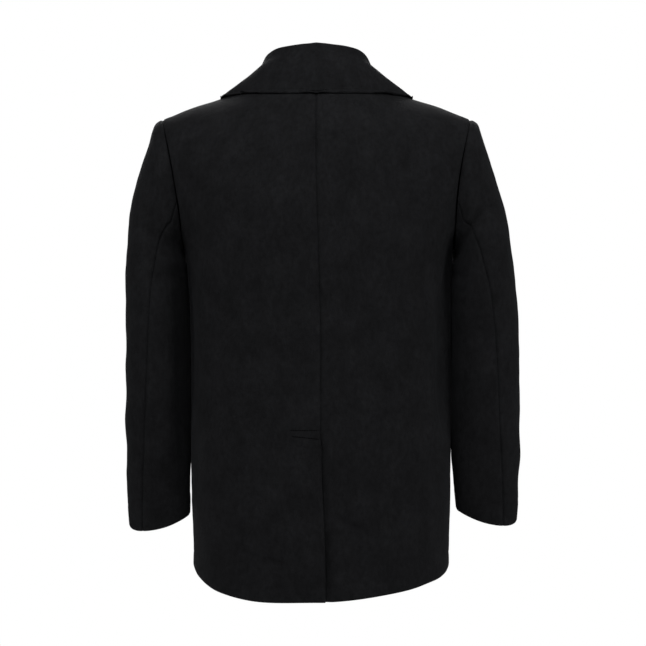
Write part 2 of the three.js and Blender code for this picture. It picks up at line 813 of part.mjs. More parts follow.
// A grid moved along its own normals
function offsetGrid(grid, distance) {
  const lastRow = grid.length - 1;
  const lastColumn = grid[0].length - 1;
  return grid.map((line, row) => line.map((point, column) => {
    const before = grid[Math.max(row - 1, 0)][column];
    const after = grid[Math.min(row + 1, lastRow)][column];
    const left = line[Math.max(column - 1, 0)];
    const right = line[Math.min(column + 1, lastColumn)];
    const along = after.clone().sub(before);
    const across = right.clone().sub(left);
    return point.clone().addScaledVector(along.cross(across).normalize(), distance);
  }));
}

// Sleeves

// The sleeve's outer face, by ring and by the angle in degrees round it from its outer side
function sleevePoint(ring, angle, side) {
  const row = rowAt(sleeveRings, 'ring', ring);
  const turn = THREE.MathUtils.degToRad(angle);
  const sideways = signedPower(Math.cos(turn), 2 / row.square);
  const lengthways = signedPower(Math.sin(turn), 2 / row.square);
  const outwards = (1 + sideways) / 2;
  const x = mix(row.inX, row.outX, outwards) - row.scoop * Math.sin(turn) ** 2;
  const y = (lengthways > 0 ? row.back : row.front) * lengthways;
  const rise = 1 - (1 - outwards) ** (1 + cuffRise * ramp(ring, 12, 15));
  const corner = cuffCorner.lift * ramp(ring, 14, 15) * outwards ** cuffCorner.power;
  const z = mix(row.inZ, row.outZ, rise) + corner;
  const lift = side === 'right' ? rightCuffLift * ramp(ring, 8, 15) : 0;
  const sign = side === 'right' ? -1 : 1;
  const swing = sign * cuffSwing * mix(ramp(ring, 13, 15), ramp(ring, 6, 13), outwards);
  return new THREE.Vector3(x + swing, y, z + lift);
}

function sleeveInwards(ring, angle, side) {
  const point = sleevePoint(ring, angle, side);
  if (ring === 0) {
    const middleZ = (shoulderTipZ + underarmZ) / 2;
    return new THREE.Vector3(0, -point.y, middleZ - point.z).normalize();
  }
  const small = 0.02;
  const last = sleeveRings.length - 1;
  const below = sleevePoint(Math.max(ring - small, 0), angle, side);
  const above = sleevePoint(Math.min(ring + small, last), angle, side);
  const before = sleevePoint(ring, angle - 1, side);
  const after = sleevePoint(ring, angle + 1, side);
  return after.sub(before).cross(above.sub(below)).normalize();
}

// Angles at the armhole, the same as those of the body's rows there
function armholeAngles() {
  const half = [];
  for (let row = 0; row < yokeRows; row += 1) {
    half.push((90 * row) / yokeRows);
  }
  for (let row = 0; row <= armholeRows; row += 1) {
    half.push(90 + (90 * row) / armholeRows);
  }
  const other = half.slice(1, -1).toReversed().map((angle) => 360 - angle);
  return [...half, ...other];
}

// The share of the piece's width at each of its columns, from the armhole's angles
function sleeveColumns(piece) {
  const { elbow, inseam } = seamAngles[0];
  const angles = armholeAngles();
  if (piece === 'under') {
    return angles.filter((angle) => angle >= elbow && angle <= 360 + inseam);
  }
  const front = angles.filter((angle) => angle >= 360 + inseam).map((angle) => angle - 360);
  return [...front, ...angles.filter((angle) => angle <= elbow)];
}

function sleeveAngle(piece, column, ring) {
  const first = seamAngles[0];
  const here = rowAt(seamAngles, 'ring', ring);
  if (piece === 'under') {
    const share = (column - first.elbow) / (360 + first.inseam - first.elbow);
    return mix(here.elbow, 360 + here.inseam, share);
  }
  return column > 0 ? (column * here.elbow) / first.elbow : (column * here.inseam) / first.inseam;
}

function addSleevePiece(piece, side) {
  const columns = sleeveColumns(piece);
  const outer = [];
  const inner = [];
  sleeveRings.forEach(({ ring }) => {
    const outerRow = [];
    const innerRow = [];
    columns.forEach((column, index) => {
      const angle = sleeveAngle(piece, column, ring);
      const beside = sleeveAngle(piece, columns[index === 0 ? 1 : index - 1], ring);
      const point = sleevePoint(ring, angle, side);
      if (index === 0 || index === columns.length - 1) {
        const inside = sleevePoint(ring, beside, side).sub(point).normalize();
        point.addScaledVector(inside, seamGap / 2);
      }
      if (ring === 0) {
        point.x += seamGap / 2;
      }
      const inwards = sleeveInwards(ring, angle, side);
      outerRow.push(settle(point, side));
      innerRow.push(settle(point.clone().addScaledVector(inwards, wall), side));
    });
    outer.push(outerRow);
    inner.push(innerRow);
  });
  addPiece(`${piece}_sleeve_${side}`, wallGeometry(outer, inner), wool);
}

// Pocket welts

function addWelt(side) {
  const slant = THREE.MathUtils.degToRad(weltSlant);
  const rows = 6;
  const columns = 2;
  const outer = [];
  const inner = [];
  for (let row = 0; row <= rows; row += 1) {
    const outerRow = [];
    const innerRow = [];
    for (let column = 0; column <= columns; column += 1) {
      const down = (weltLength * row) / rows;
      const across = (weltWidth * column) / columns;
      const x = weltTop.x + down * Math.sin(slant) + across * Math.cos(slant);
      const z = weltTop.z - down * Math.cos(slant) + across * Math.sin(slant);
      const { point, normal } = onFront(x, z, side);
      outerRow.push(settle(point.clone().addScaledVector(normal, weltInset + wall), side));
      innerRow.push(settle(point.clone().addScaledVector(normal, weltInset), side));
    }
    outer.push(outerRow);
    inner.push(innerRow);
  }
  addPiece(`pocket_welt_${side}`, wallGeometry(outer, inner), wool);
}

// Buttons

function buttonGeometry() {
  const rimWidth = 3.2;
  const dish = 1.1;
  const edge = 1;
  const profile = [
    new THREE.Vector2(0, 0),
    new THREE.Vector2(buttonRadius - edge, 0),
    new THREE.Vector2(buttonRadius, edge),
    new THREE.Vector2(buttonRadius, buttonThickness - edge),
    new THREE.Vector2(buttonRadius - edge, buttonThickness),
    new THREE.Vector2(buttonRadius - rimWidth, buttonThickness),
    new THREE.Vector2(buttonRadius - rimWidth - edge, buttonThickness - dish),
    new THREE.Vector2(0, buttonThickness - dish),
  ];
  let solid = toSolid(new THREE.LatheGeometry(profile, 18));
  for (const [x, z] of [[1, 1], [1, -1], [-1, 1], [-1, -1]]) {
    const hole = new THREE.CylinderGeometry(buttonHoleRadius, buttonHoleRadius, 3 * buttonThickness, 6);
    hole.translate((x * buttonHoleSpacing) / 2, 0, (z * buttonHoleSpacing) / 2);
    solid = solid.subtract(toSolid(hole));
  }
  return toGeometry(solid);
}

function addButton(name, x, z) {
  const { point, normal } = onFront(x, z, 'left');
  const seat = settle(point.clone().addScaledVector(normal, seamGap), 'left');
  const geometry = buttonGeometry();
  const turn = new THREE.Quaternion().setFromUnitVectors(new THREE.Vector3(0, 1, 0), normal);
  geometry.applyQuaternion(turn);
  geometry.translate(seat.x, seat.y, seat.z);
  addPiece(name, geometry, plastic);
}

function addButtons() {
  let number = 1;
  for (let row = 0; row < buttonRowCount; row += 1) {
    for (const x of [-buttonColumnX, buttonColumnX]) {
      addButton(`button_${String(number).padStart(2, '0')}`, x, buttonTopZ - row * buttonPitch);
      number += 1;
    }
  }
}

for (const side of ['left', 'right']) {
  addBack(side);
  addFront(side);
  addLapel(side);
  addSleevePiece('top', side);
  addSleevePiece('under', side);
  addWelt(side);
}
addCollar();
addButtons();

export default coat;
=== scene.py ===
import math
import bpy
import numpy as np
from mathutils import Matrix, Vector


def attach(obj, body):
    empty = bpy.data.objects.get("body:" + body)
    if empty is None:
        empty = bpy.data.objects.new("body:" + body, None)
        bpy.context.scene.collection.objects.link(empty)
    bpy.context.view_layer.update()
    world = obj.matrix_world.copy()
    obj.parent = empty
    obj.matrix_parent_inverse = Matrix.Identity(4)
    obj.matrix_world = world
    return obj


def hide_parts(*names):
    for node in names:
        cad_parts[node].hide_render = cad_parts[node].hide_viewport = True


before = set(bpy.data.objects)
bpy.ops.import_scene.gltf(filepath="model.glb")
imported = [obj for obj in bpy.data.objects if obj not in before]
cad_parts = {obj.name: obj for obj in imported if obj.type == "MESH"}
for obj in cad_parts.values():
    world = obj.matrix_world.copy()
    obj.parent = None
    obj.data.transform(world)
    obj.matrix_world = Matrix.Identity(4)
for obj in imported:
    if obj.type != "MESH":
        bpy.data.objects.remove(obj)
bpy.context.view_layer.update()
bpy.ops.object.select_all(action="DESELECT")

# Sizes are in millimetres, as a tailor writes them. toMetres brings them into the scene.
toMetres = 0.001


# small helpers

def mix(start, end, share):
    return start + (end - start) * share


def ramp(value, start, end):
    share = np.clip((value - start) / (end - start), 0, 1)
    return share * share * (3 - 2 * share)


def signedPower(value, exponent):
    return np.sign(value) * np.abs(value) ** exponent


def table(names, *rows):
    return {name: [row[place] for row in rows] for place, name in enumerate(names.split())}


# a table's row at any place of its key column, on smooth curves through the rows
def rowAt(rows, key, place):
    keys = np.array(rows[key], float)
    last = len(keys) - 1
    place = np.clip(place, keys[0], keys[-1])
    low = np.searchsorted(keys[1:-1], place, side="left")
    span = keys[low + 1] - keys[low]
    share = (place - keys[low]) / span
    before = np.maximum(np.arange(last + 1) - 1, 0)
    after = np.minimum(np.arange(last + 1) + 1, last)
    found = {}
    for name in rows:
        column = np.array(rows[name], float)
        slopes = (column[after] - column[before]) / (keys[after] - keys[before])
        found[name] = ((1 + 2 * share) * (1 - share) ** 2 * column[low]
                       + share ** 2 * (3 - 2 * share) * column[low + 1]
                       + share * (1 - share) ** 2 * slopes[low] * span
                       + share ** 2 * (share - 1) * slopes[low + 1] * span)
    return found


def stack(x, y, z):
    x, y, z = np.broadcast_arrays(x, y, z)
    return np.stack([x, y, z], axis=-1).astype(float)


def unit(vectors):
    return vectors / np.maximum(np.linalg.norm(vectors, axis=-1, keepdims=True), 1e-9)


# the coat's form: every point is worked out for the wearer's left side

form = {
    "napeZ": -2, "neckPointZ": 6, "shoulderTipZ": -62, "underarmZ": -262, "hemSideZ": -738,
    "yokeCentreZ": {"back": -150, "front": -165}, "hemDrop": {"back": 34, "front": 16},
    "neckHalfWidth": 78, "neckBackDepth": 62, "shoulderHalfWidth": 235,
    "armholeFootX": 205, "armholeScoop": 8, "armholeReach": {"back": 73, "front": 77},
    "neckShare": 5 / 14, "squareness": 2.4, "cloth": 3, "layerGap": 0.9, "seamGap": 0.3,
    "overlap": 85,
    "hemTilt": {"drop": 5, "fullX": 110, "fadeX": 150, "endX": 195, "topZ": -560, "lowZ": -740},
    "sway": -7, "swayTopZ": -100, "swayLowZ": -420,  # the coat hangs to the wearer's right
    "turnDegrees": {"backCentre": 45, "backNeck": 62, "frontRoll": 55, "shoulder": 90},
}
shoulderLine = table("x z", (78, 6), (110, -13.5), (145, -28.2), (190, -43), (235, -62))
bodySections = table(
    "z side back front",
    (-790, 193.5, 158, 164), (-700, 195, 153, 160), (-600, 198, 146, 154),
    (-480, 198, 137, 148), (-370, 199, 132, 145), (-304, 201.5, 135, 146),
    (-262, 205, 138, 146), (-205, 209, 137, 140), (-150, 212, 128, 126))


def rollLineX(z):
    share = (z - form["underarmZ"]) / (form["neckPointZ"] - form["underarmZ"])
    return mix(-form["overlap"], form["neckHalfWidth"], np.maximum(share, 0))


def armholePoint(half, degrees):
    turn = np.radians(degrees)
    middleX = (form["shoulderHalfWidth"] + form["armholeFootX"]) / 2
    reachX = (form["shoulderHalfWidth"] - form["armholeFootX"]) / 2
    middleZ = (form["shoulderTipZ"] + form["underarmZ"]) / 2
    reachZ = (form["shoulderTipZ"] - form["underarmZ"]) / 2
    outward = 1 if half == "back" else -1
    return (middleX + reachX * np.cos(turn) - form["armholeScoop"] * np.sin(turn) ** 2,
            outward * form["armholeReach"][half] * np.sin(turn),
            middleZ + reachZ * np.cos(turn))


def levelLine(half, share, centreZ, end):
    square = form["squareness"]
    section = rowAt(bodySections, "z", centreZ)
    depth = section["back"] if half == "back" else -section["front"]
    reach = np.abs(end[1] / depth)
    halfWidth = end[0] / (1 - reach ** square) ** (1 / square)
    endAngle = np.arcsin(np.clip((end[0] / halfWidth) ** (square / 2), 0, 1))
    startX = 0 * centreZ if half == "back" else rollLineX(centreZ)
    angle = mix(np.arcsin(signedPower(startX / halfWidth, square / 2)), endAngle, share)
    x = halfWidth * signedPower(np.sin(angle), 2 / square)
    y = depth * np.maximum(np.cos(angle), 0) ** (2 / square)
    return stack(x, y, mix(centreZ, end[2], (x / end[0]) ** 2))


def skirtPoint(half, share, row):
    outer = rowAt(bodySections, "z", mix(form["hemSideZ"], form["underarmZ"], row))
    point = levelLine(half, share, outer["z"], (outer["side"], 0 * row, outer["z"]))
    nearness = np.abs(point[..., 1]) / outer[half]
    point[..., 2] -= form["hemDrop"][half] * nearness ** 1.4 * (1 - row)
    return point


def armholeLevelPoint(half, share, row):
    rise = 1 - np.cos(row * math.pi / 2)
    centreZ = mix(form["underarmZ"], form["yokeCentreZ"][half], rise)
    return levelLine(half, share, centreZ, armholePoint(half, 180 - 90 * row))


def topEdge(half, share):
    neckShare = form["neckShare"] if half == "back" else 0
    along = np.clip((share - neckShare) / (1 - neckShare), 0, 1)
    x = mix(form["neckHalfWidth"], form["shoulderHalfWidth"], along)
    shoulder = stack(x, 0, rowAt(shoulderLine, "x", x)["z"])
    if half == "front":
        return shoulder
    turn = np.clip(share / neckShare, 0, 1) * math.pi / 2
    neck = stack(form["neckHalfWidth"] * np.sin(turn), form["neckBackDepth"] * np.cos(turn),
                 mix(form["napeZ"], form["neckPointZ"], 1 - np.cos(turn)))
    return np.where((share < neckShare)[..., None], neck, shoulder)


def topTurnAt(half, share):
    turn = form["turnDegrees"]
    if half == "front":
        return mix(turn["frontRoll"], turn["shoulder"], share)
    neckShare = form["neckShare"]
    onNeck = mix(turn["backCentre"], turn["backNeck"], share / neckShare)
    onShoulder = mix(turn["backNeck"], turn["shoulder"], (share - neckShare) / (1 - neckShare))
    return np.where(share < neckShare, onNeck, onShoulder)


def yokePoint(half, share, row):
    foot = armholeLevelPoint(half, share, 1 + 0 * row)
    top = topEdge(half, share)
    endTurn = np.radians(topTurnAt(half, share))
    outwards = (np.cos(endTurn * row) - np.cos(endTurn)) / (1 - np.cos(endTurn))
    rise = np.sin(endTurn * row) / np.sin(endTurn)
    flare = (form["shoulderHalfWidth"] - form["armholeFootX"]) / 2
    linear = flare / (flare + form["armholeScoop"])
    spread = linear * rise + (1 - linear) * rise * rise
    return stack(mix(foot[..., 0], top[..., 0], spread), mix(top[..., 1], foot[..., 1], outwards),
                 mix(foot[..., 2], top[..., 2], rise))


# row: 0 hem, 1 underarm, 2 middle of the armhole, 3 top edge
def formPoint(half, share, row):
    share, row = np.broadcast_arrays(np.asarray(share, float), np.asarray(row, float))
    skirt = skirtPoint(half, share, np.clip(row, 0, 1))
    middle = armholeLevelPoint(half, share, np.clip(row - 1, 0, 1))
    yoke = yokePoint(half, share, np.clip(row - 2, 0, 1))
    level = row[..., None]
    return np.where(level < 1, skirt, np.where(level < 2, middle, yoke))


def formNormal(half, share, row):
    small = 0.004
    across = (formPoint(half, np.minimum(share + small, 1), row)
              - formPoint(half, np.maximum(share - small, 0), row))
    upwards = (formPoint(half, share, np.minimum(row + small, 3))
               - formPoint(half, share, np.maximum(row - small, 0)))
    normal = unit(np.cross(across, upwards))
    return -normal if half == "back" else normal


# share and row where two of the form's coordinates have the wanted values
def findOnForm(half, axes, wanted, share, row):
    wanted = np.asarray(wanted, float)
    share = share + np.zeros(wanted.shape[:-1])
    row = row + np.zeros(wanted.shape[:-1])
    small = 0.0005
    for step in range(50):
        here = formPoint(half, share, row)[..., axes]
        shareStep = np.where(share > 0.5, -small, small)
        rowStep = np.where(row > 2.5, -small, small)
        byShare = (formPoint(half, share + shareStep, row)[..., axes] - here) / shareStep[..., None]
        byRow = (formPoint(half, share, row + rowStep)[..., axes] - here) / rowStep[..., None]
        error = wanted - here
        scale = byShare[..., 0] * byRow[..., 1] - byShare[..., 1] * byRow[..., 0]
        moveShare = (error[..., 0] * byRow[..., 1] - error[..., 1] * byRow[..., 0]) / scale
        moveRow = (byShare[..., 0] * error[..., 1] - byShare[..., 1] * error[..., 0]) / scale
        ease = 1 if step < 20 else 0.5  # smaller steps settle where the form's slope changes
        share = np.clip(share + ease * np.clip(moveShare, -0.1, 0.1), 0, 1)
        row = np.clip(row + ease * np.clip(moveRow, -0.2, 0.2), 0, 3)
    return share, row


# a point of the left side put on its own side, and swayed with the coat
def settle(points, side):
    settled = points.copy()
    lean = form["sway"] * ramp(-points[..., 2], -form["swayTopZ"], -form["swayLowZ"])
    settled[..., 0] = (1 if side == "left" else -1) * points[..., 0] + lean
    return settled


# cloth sheets

# the rows that a rolled edge takes, closest at the very edge
rolled = np.array([0, 0.35, 0.8, 1.4, 2.2, 3.3, 4.8])


# shares from 0 to 1, crowded at both ends so that a rolled edge has enough rows
def crowded(count, fine):
    ends = fine * rolled
    middle = np.linspace(fine * 7, 1 - fine * 7, count)
    return np.concatenate([ends, middle, (1 - ends)[::-1]])


# how far each point is from the grid's four edges, along the cloth
def edgeDistances(grid):
    across = np.linalg.norm(np.diff(grid, axis=1), axis=-1)
    upwards = np.linalg.norm(np.diff(grid, axis=0), axis=-1)
    start = np.concatenate([np.zeros((grid.shape[0], 1)), np.cumsum(across, axis=1)], axis=1)
    bottom = np.concatenate([np.zeros((1, grid.shape[1])), np.cumsum(upwards, axis=0)], axis=0)
    return {"start": start, "end": start[:, -1:] - start,
            "bottom": bottom, "top": bottom[-1:] - bottom}


def gridNormals(grid, flip):
    normal = unit(np.cross(np.gradient(grid, axis=1), np.gradient(grid, axis=0)))
    return -normal if flip else normal


hem = {"body": 20, "cuff": 34}  # how far above the edge the turned-up cloth ends


def edgeRoll(distance, depth, width):
    return depth * np.exp(-(distance / width) ** 2)


# the pressed-open allowance under the cloth beside a seam
def seamBulk(distance, height=0.35, width=11):
    return height * ramp(distance, 1.5, 5) * (1 - ramp(distance, width, width + 5))


# a turned-up hem: its second layer, and the pressed line where that ends
def hemTurnUp(distance, line, groove, width, bulk=0):
    return (bulk * (1 - ramp(distance, line - 6, line + 4))
            - groove * np.exp(-((distance - line) / width) ** 2))


# slow, smooth unevenness of a height and a size, from a few waves of seeded directions
def softNoise(points, height, size, seed):
    random = np.random.default_rng(seed)
    total = 0
    for wave in range(9):
        direction = unit(random.normal(size=3))
        length = size * random.uniform(0.7, 1.6)
        total = total + np.sin(points @ direction * 2 * math.pi / length + random.uniform(0, 6.28))
    return height * total / 3.2


# soft troughs and ridges: each line has its width, its height and the x, z points it runs through
def creases(points, lines):
    total = np.zeros(points.shape[:-1])
    plan = points[..., [0, 2]]
    for width, height, run in lines:
        nearest = np.full(total.shape, 1e9)
        along = np.zeros(total.shape)
        path = np.array(run, float)
        lengths = np.linalg.norm(np.diff(path, axis=0), axis=1)
        for index, (begin, finish) in enumerate(zip(path[:-1], path[1:])):
            step = finish - begin
            share = np.clip(((plan - begin) @ step) / (step @ step), 0, 1)
            distance = np.linalg.norm(plan - begin - share[..., None] * step, axis=-1)
            place = (lengths[:index].sum() + share * lengths[index]) / lengths.sum()
            along = np.where(distance < nearest, place, along)
            nearest = np.minimum(nearest, distance)
        fade = np.sin(np.clip(along, 0, 1) * math.pi) ** 0.6
        total += height * np.maximum(fade, 0.15) * np.exp(-(nearest / width) ** 2)
    return total


def facesOf(rows, columns, flip):
    index = np.arange(rows * columns).reshape(rows, columns)
    quads = np.stack([index[:-1, :-1], index[:-1, 1:], index[1:, 1:], index[1:, :-1]], axis=-1)
    quads = quads.reshape(-1, 4)
    return quads[:, ::-1] if flip else quads


def borderOf(rows, columns):
    index = np.arange(rows * columns).reshape(rows, columns)
    return np.concatenate([index[0, :-1], index[:-1, -1], index[-1, :0:-1], index[:0:-1, 0]])


# a closed wall of cloth from its outer and its inner face, with the rim between them
def makeSheet(name, outer, inner, flip):
    rows, columns = outer.shape[:2]
    count = rows * columns
    border = borderOf(rows, columns)
    following = np.roll(border, -1)
    rim = np.stack([following, border, border + count, following + count], axis=-1)
    if flip:
        rim = rim[:, ::-1]
    faces = np.concatenate([facesOf(rows, columns, flip),
                            facesOf(rows, columns, not flip) + count, rim])
    points = np.concatenate([outer.reshape(-1, 3), inner.reshape(-1, 3)]) * toMetres
    mesh = bpy.data.meshes.new(name)
    mesh.from_pydata(points.tolist(), [], faces.tolist())
    mesh.validate()
    cloth = bpy.data.objects.new(name, mesh)
    bpy.context.scene.collection.objects.link(cloth)
    mesh.shade_smooth()
    return cloth


# cloth on its grid: raised is how far the outer face stands off it. Edges are rolled in,
# by their depth and width, and free ones on the inner face too.
def wallFrom(name, grid, flip, raised, edges, side=None, thickness=form["cloth"]):
    distances = edgeDistances(grid)
    normal = gridNormals(grid, flip)
    roll = np.zeros(grid.shape[:2])
    innerRoll = np.zeros(grid.shape[:2])
    for edge, (depth, width, free) in edges.items():
        roll = np.maximum(roll, edgeRoll(distances[edge], depth, width))
        innerRoll = np.maximum(innerRoll, edgeRoll(distances[edge], depth * free, width))
    outer = grid + normal * (raised - roll)[..., None]
    inner = grid + normal * (raised * 0.6 - thickness + innerRoll)[..., None]
    mirrored = side == "right"
    if side:
        outer, inner = settle(outer, side), settle(inner, side)
    return makeSheet(name, outer, inner, flip != mirrored)


def finishPiece(piece, slot, *nodes):
    if nodes:
        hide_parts(*nodes)
    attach(piece, "root")
    return piece


# wool: felted black cloth with a short nap. Sizes are in metres.
woolLook = {
    "dark": (0.0046, 0.0047, 0.0051), "light": (0.0108, 0.0111, 0.0120), "shadeRange": (0.36, 0.66),
    "napSize": 0.0014, "napDetail": (4, 0.7), "napShare": 0.45, "fibreTwist": 1.2,
    "mottleSize": 0.0060, "mottleDetail": (5, 0.62), "mottleShare": 0.55,
    "cloudSize": 0.030, "cloudDetail": (3, 0.5), "cloudRange": (0.3, 0.7), "cloudStrength": 0.5,
    "cloudDark": (0.6, 0.6, 0.62), "cloudLight": (1.4, 1.4, 1.43),
    "napBump": (0.7, 0.0005), "mottleBump": (0.5, 0.0011), "roughness": (0.82, 0.98),
    "specular": 0.07, "sheen": 0.012, "sheenRoughness": 0.42, "sheenTint": (0.86, 0.9, 1, 1),
}


def addNode(tree, kind, **values):
    node = tree.nodes.new(kind)
    for name, value in values.items():
        if hasattr(node, name):
            setattr(node, name, value)
        else:
            node.inputs[name.replace("_", " ")].default_value = value
    return node


def newMaterial(name):
    material = bpy.data.materials.new(name)
    material.use_nodes = True
    return material, material.node_tree, material.node_tree.nodes["Principled BSDF"]


def noiseOn(tree, vector, size, detail, roughness=0.5, twist=0):
    noise = addNode(tree, "ShaderNodeTexNoise", Scale=1 / size, Detail=detail, Roughness=roughness,
                    Distortion=twist)
    tree.links.new(vector, noise.inputs["Vector"])
    return noise.outputs["Fac"]


def shadesBetween(tree, height, places, dark, light):
    shades = addNode(tree, "ShaderNodeValToRGB")
    for stop, place, colour in zip(shades.color_ramp.elements, places, (dark, light)):
        stop.position = place
        stop.color = (*colour, 1)
    tree.links.new(height, shades.inputs["Fac"])
    return shades.outputs["Color"]


def roughnessFrom(tree, height, low, high):
    rough = addNode(tree, "ShaderNodeMapRange", To_Min=low, To_Max=high)
    tree.links.new(height, rough.inputs["Value"])
    return rough.outputs["Result"]


def bumpFrom(tree, height, strength, distance, under=None):
    bump = addNode(tree, "ShaderNodeBump", Strength=strength, Distance=distance)
    tree.links.new(height, bump.inputs["Height"])
    if under:
        tree.links.new(under, bump.inputs["Normal"])
    return bump.outputs["Normal"]


def makeWool(name):
    look = woolLook
    material, tree, shader = newMaterial(name)
    place = addNode(tree, "ShaderNodeTexCoord").outputs["Object"]
    stretch = addNode(tree, "ShaderNodeMapping", Scale=(1, 1, 0.7))
    tree.links.new(place, stretch.inputs["Vector"])
    nap, mottle, cloud = [
        noiseOn(tree, stretch.outputs["Vector"], look[f"{layer}Size"], *look[f"{layer}Detail"])
        for layer in ("nap", "mottle", "cloud")]
    fibre = noiseOn(tree, place, look["napSize"] / 1.6, 2, twist=look["fibreTwist"])
    mottlePart = addNode(tree, "ShaderNodeMath", operation="MULTIPLY")
    mottlePart.inputs[1].default_value = look["mottleShare"]
    tree.links.new(mottle, mottlePart.inputs[0])
    blend = addNode(tree, "ShaderNodeMath", operation="MULTIPLY_ADD")
    blend.inputs[1].default_value = look["napShare"]
    tree.links.new(nap, blend.inputs[0])
    tree.links.new(mottlePart.outputs[0], blend.inputs[2])
    shades = shadesBetween(tree, blend.outputs[0], look["shadeRange"], look["dark"], look["light"])
    clouds = shadesBetween(tree, cloud, look["cloudRange"], look["cloudDark"], look["cloudLight"])
    tint = addNode(tree, "ShaderNodeMix", data_type="RGBA", blend_type="MULTIPLY")
    tint.inputs["Factor"].default_value = look["cloudStrength"]
    tree.links.new(shades, tint.inputs["A"])
    tree.links.new(clouds, tint.inputs["B"])
    tree.links.new(tint.outputs["Result"], shader.inputs["Base Color"])
    tree.links.new(roughnessFrom(tree, mottle, *look["roughness"]), shader.inputs["Roughness"])
    broad = bumpFrom(tree, mottle, *look["mottleBump"])
    tree.links.new(bumpFrom(tree, fibre, *look["napBump"], broad), shader.inputs["Normal"])
    shader.inputs["Specular IOR Level"].default_value = look["specular"]
    shader.inputs["Sheen Weight"].default_value = look["sheen"]
    shader.inputs["Sheen Roughness"].default_value = look["sheenRoughness"]
    shader.inputs["Sheen Tint"].default_value = look["sheenTint"]
    return material


# thread, buttons and the floor: one colour, a little lighter and darker by its spread
def makePlain(name, colour, roughness, bumpSize, bumpStrength, specular=0.4, spread=0.33):
    material, tree, shader = newMaterial(name)
    place = addNode(tree, "ShaderNodeTexCoord").outputs["Object"]
    grain = noiseOn(tree, place, bumpSize, 3)
    shades = shadesBetween(tree, grain, (0.3, 0.75), [c * (1 - spread) for c in colour],
                           [c * (1 + spread) for c in colour])
    tree.links.new(shades, shader.inputs["Base Color"])
    tree.links.new(roughnessFrom(tree, grain, roughness * 0.85, roughness * 1.2),
                   shader.inputs["Roughness"])
    tree.links.new(bumpFrom(tree, grain, bumpStrength, 0.0002), shader.inputs["Normal"])
    shader.inputs["Specular IOR Level"].default_value = specular
    return material


wool = makeWool("wool")
thread = makePlain("thread", (0.002, 0.002, 0.0022), roughness=0.85, bumpSize=0.0006,
                   bumpStrength=0.5, specular=0.05)
buttonPlastic = makePlain("buttonPlastic", (0.009, 0.009, 0.010), roughness=0.34, bumpSize=0.004,
                          bumpStrength=0.12, specular=0.5)
print("materials made")


# small stitches that lie on a sheet: each goes from one point to the next, with its cloth's normal
stitchSizes = {
    "length": 2.9, "gap": 1.0, "width": 0.75, "sink": 0.1, "sides": 6,
    "outline": ((0, 0.25), (0.15, 0.8), (0.5, 1), (0.85, 0.8), (1, 0.25)),  # along it, and its width
}


def stitchAlong(name, cloth, path, towards, pitch=None, width=None):
    # towards is the direction in which the cloth is looked for from outside it
    points = []
    normals = []
    direction = Vector(towards).normalized()
    for place in path:
        start = Vector(place) * toMetres - direction * 0.5
        found, point, normal, face = cloth.ray_cast(start, direction)
        if found:
            points.append(np.array(point) / toMetres)
            normals.append(np.array(normal))
    points, normals = np.array(points), np.array(normals)
    lengths = np.concatenate([[0], np.cumsum(np.linalg.norm(np.diff(points, axis=0), axis=1))])
    step = pitch or stitchSizes["length"] + stitchSizes["gap"]
    half = (width or stitchSizes["width"]) / 2
    sides, outline = stitchSizes["sides"], stitchSizes["outline"]
    vertices = []
    faces = []
    for begin in np.arange(0, lengths[-1] - stitchSizes["length"], step):
        ends = [begin, begin + stitchSizes["length"]]
        a, b = [np.array([np.interp(end, lengths, points[:, axis]) for axis in range(3)])
                for end in ends]
        normal = np.array([np.interp(begin, lengths, normals[:, axis]) for axis in range(3)])
        sideways = np.cross(b - a, normal)
        sideways /= np.linalg.norm(sideways)
        first = len(vertices)
        for share, size in outline:
            middle = a + (b - a) * share + normal * (half * size * 0.6 - stitchSizes["sink"])
            for turn in np.arange(sides) * 2 * math.pi / sides:
                vertices.append(middle + half * size * (sideways * math.cos(turn)
                                                        + normal * math.sin(turn) * 0.8))
        last = first + (len(outline) - 1) * sides
        for ring in range(first, last, sides):
            for place in range(sides):
                low, high = ring + place, ring + (place + 1) % sides
                faces.append((low, high, high + sides, low + sides))
        faces.append(tuple(first + place for place in reversed(range(sides))))
        faces.append(tuple(last + place for place in range(sides)))
    mesh = bpy.data.meshes.new(name)
    mesh.from_pydata((np.array(vertices) * toMetres).tolist(), [], faces)
    mesh.validate()
    stitches = bpy.data.objects.new(name, mesh)
    bpy.context.scene.collection.objects.link(stitches)
    outwardNormals(stitches)
    mesh.shade_smooth()
    mesh.materials.append(thread)
    return stitches


def outwardNormals(piece):
    bpy.ops.object.select_all(action="DESELECT")
    piece.select_set(True)
    bpy.context.view_layer.objects.active = piece
    bpy.ops.object.mode_set(mode="EDIT")
    bpy.ops.mesh.select_all(action="SELECT")
    bpy.ops.mesh.normals_make_consistent(inside=False)
    bpy.ops.object.mode_set(mode="OBJECT")
    piece.select_set(False)


def joinPieces(whole, *others):
    bpy.ops.object.select_all(action="DESELECT")
    for piece in (whole, *others):
        piece.select_set(True)
    bpy.context.view_layer.objects.active = whole
    bpy.ops.object.join()
    whole.select_set(False)
    return whole


# rows of a body panel, close together at the hem and at the top
panelEdge = {"hemStep": 0.0022, "topStep": 0.011, "lastEven": 2.92}


def panelRows(skirt, armhole, yoke):
    hemStep = panelEdge["hemStep"]
    return np.concatenate([hemStep * rolled, np.linspace(hemStep * 7, 1, skirt),
                           np.linspace(1, 2, armhole)[1:],
                           np.linspace(2, panelEdge["lastEven"], yoke)[1:],
                           3 - panelEdge["topStep"] * rolled[::-1]])


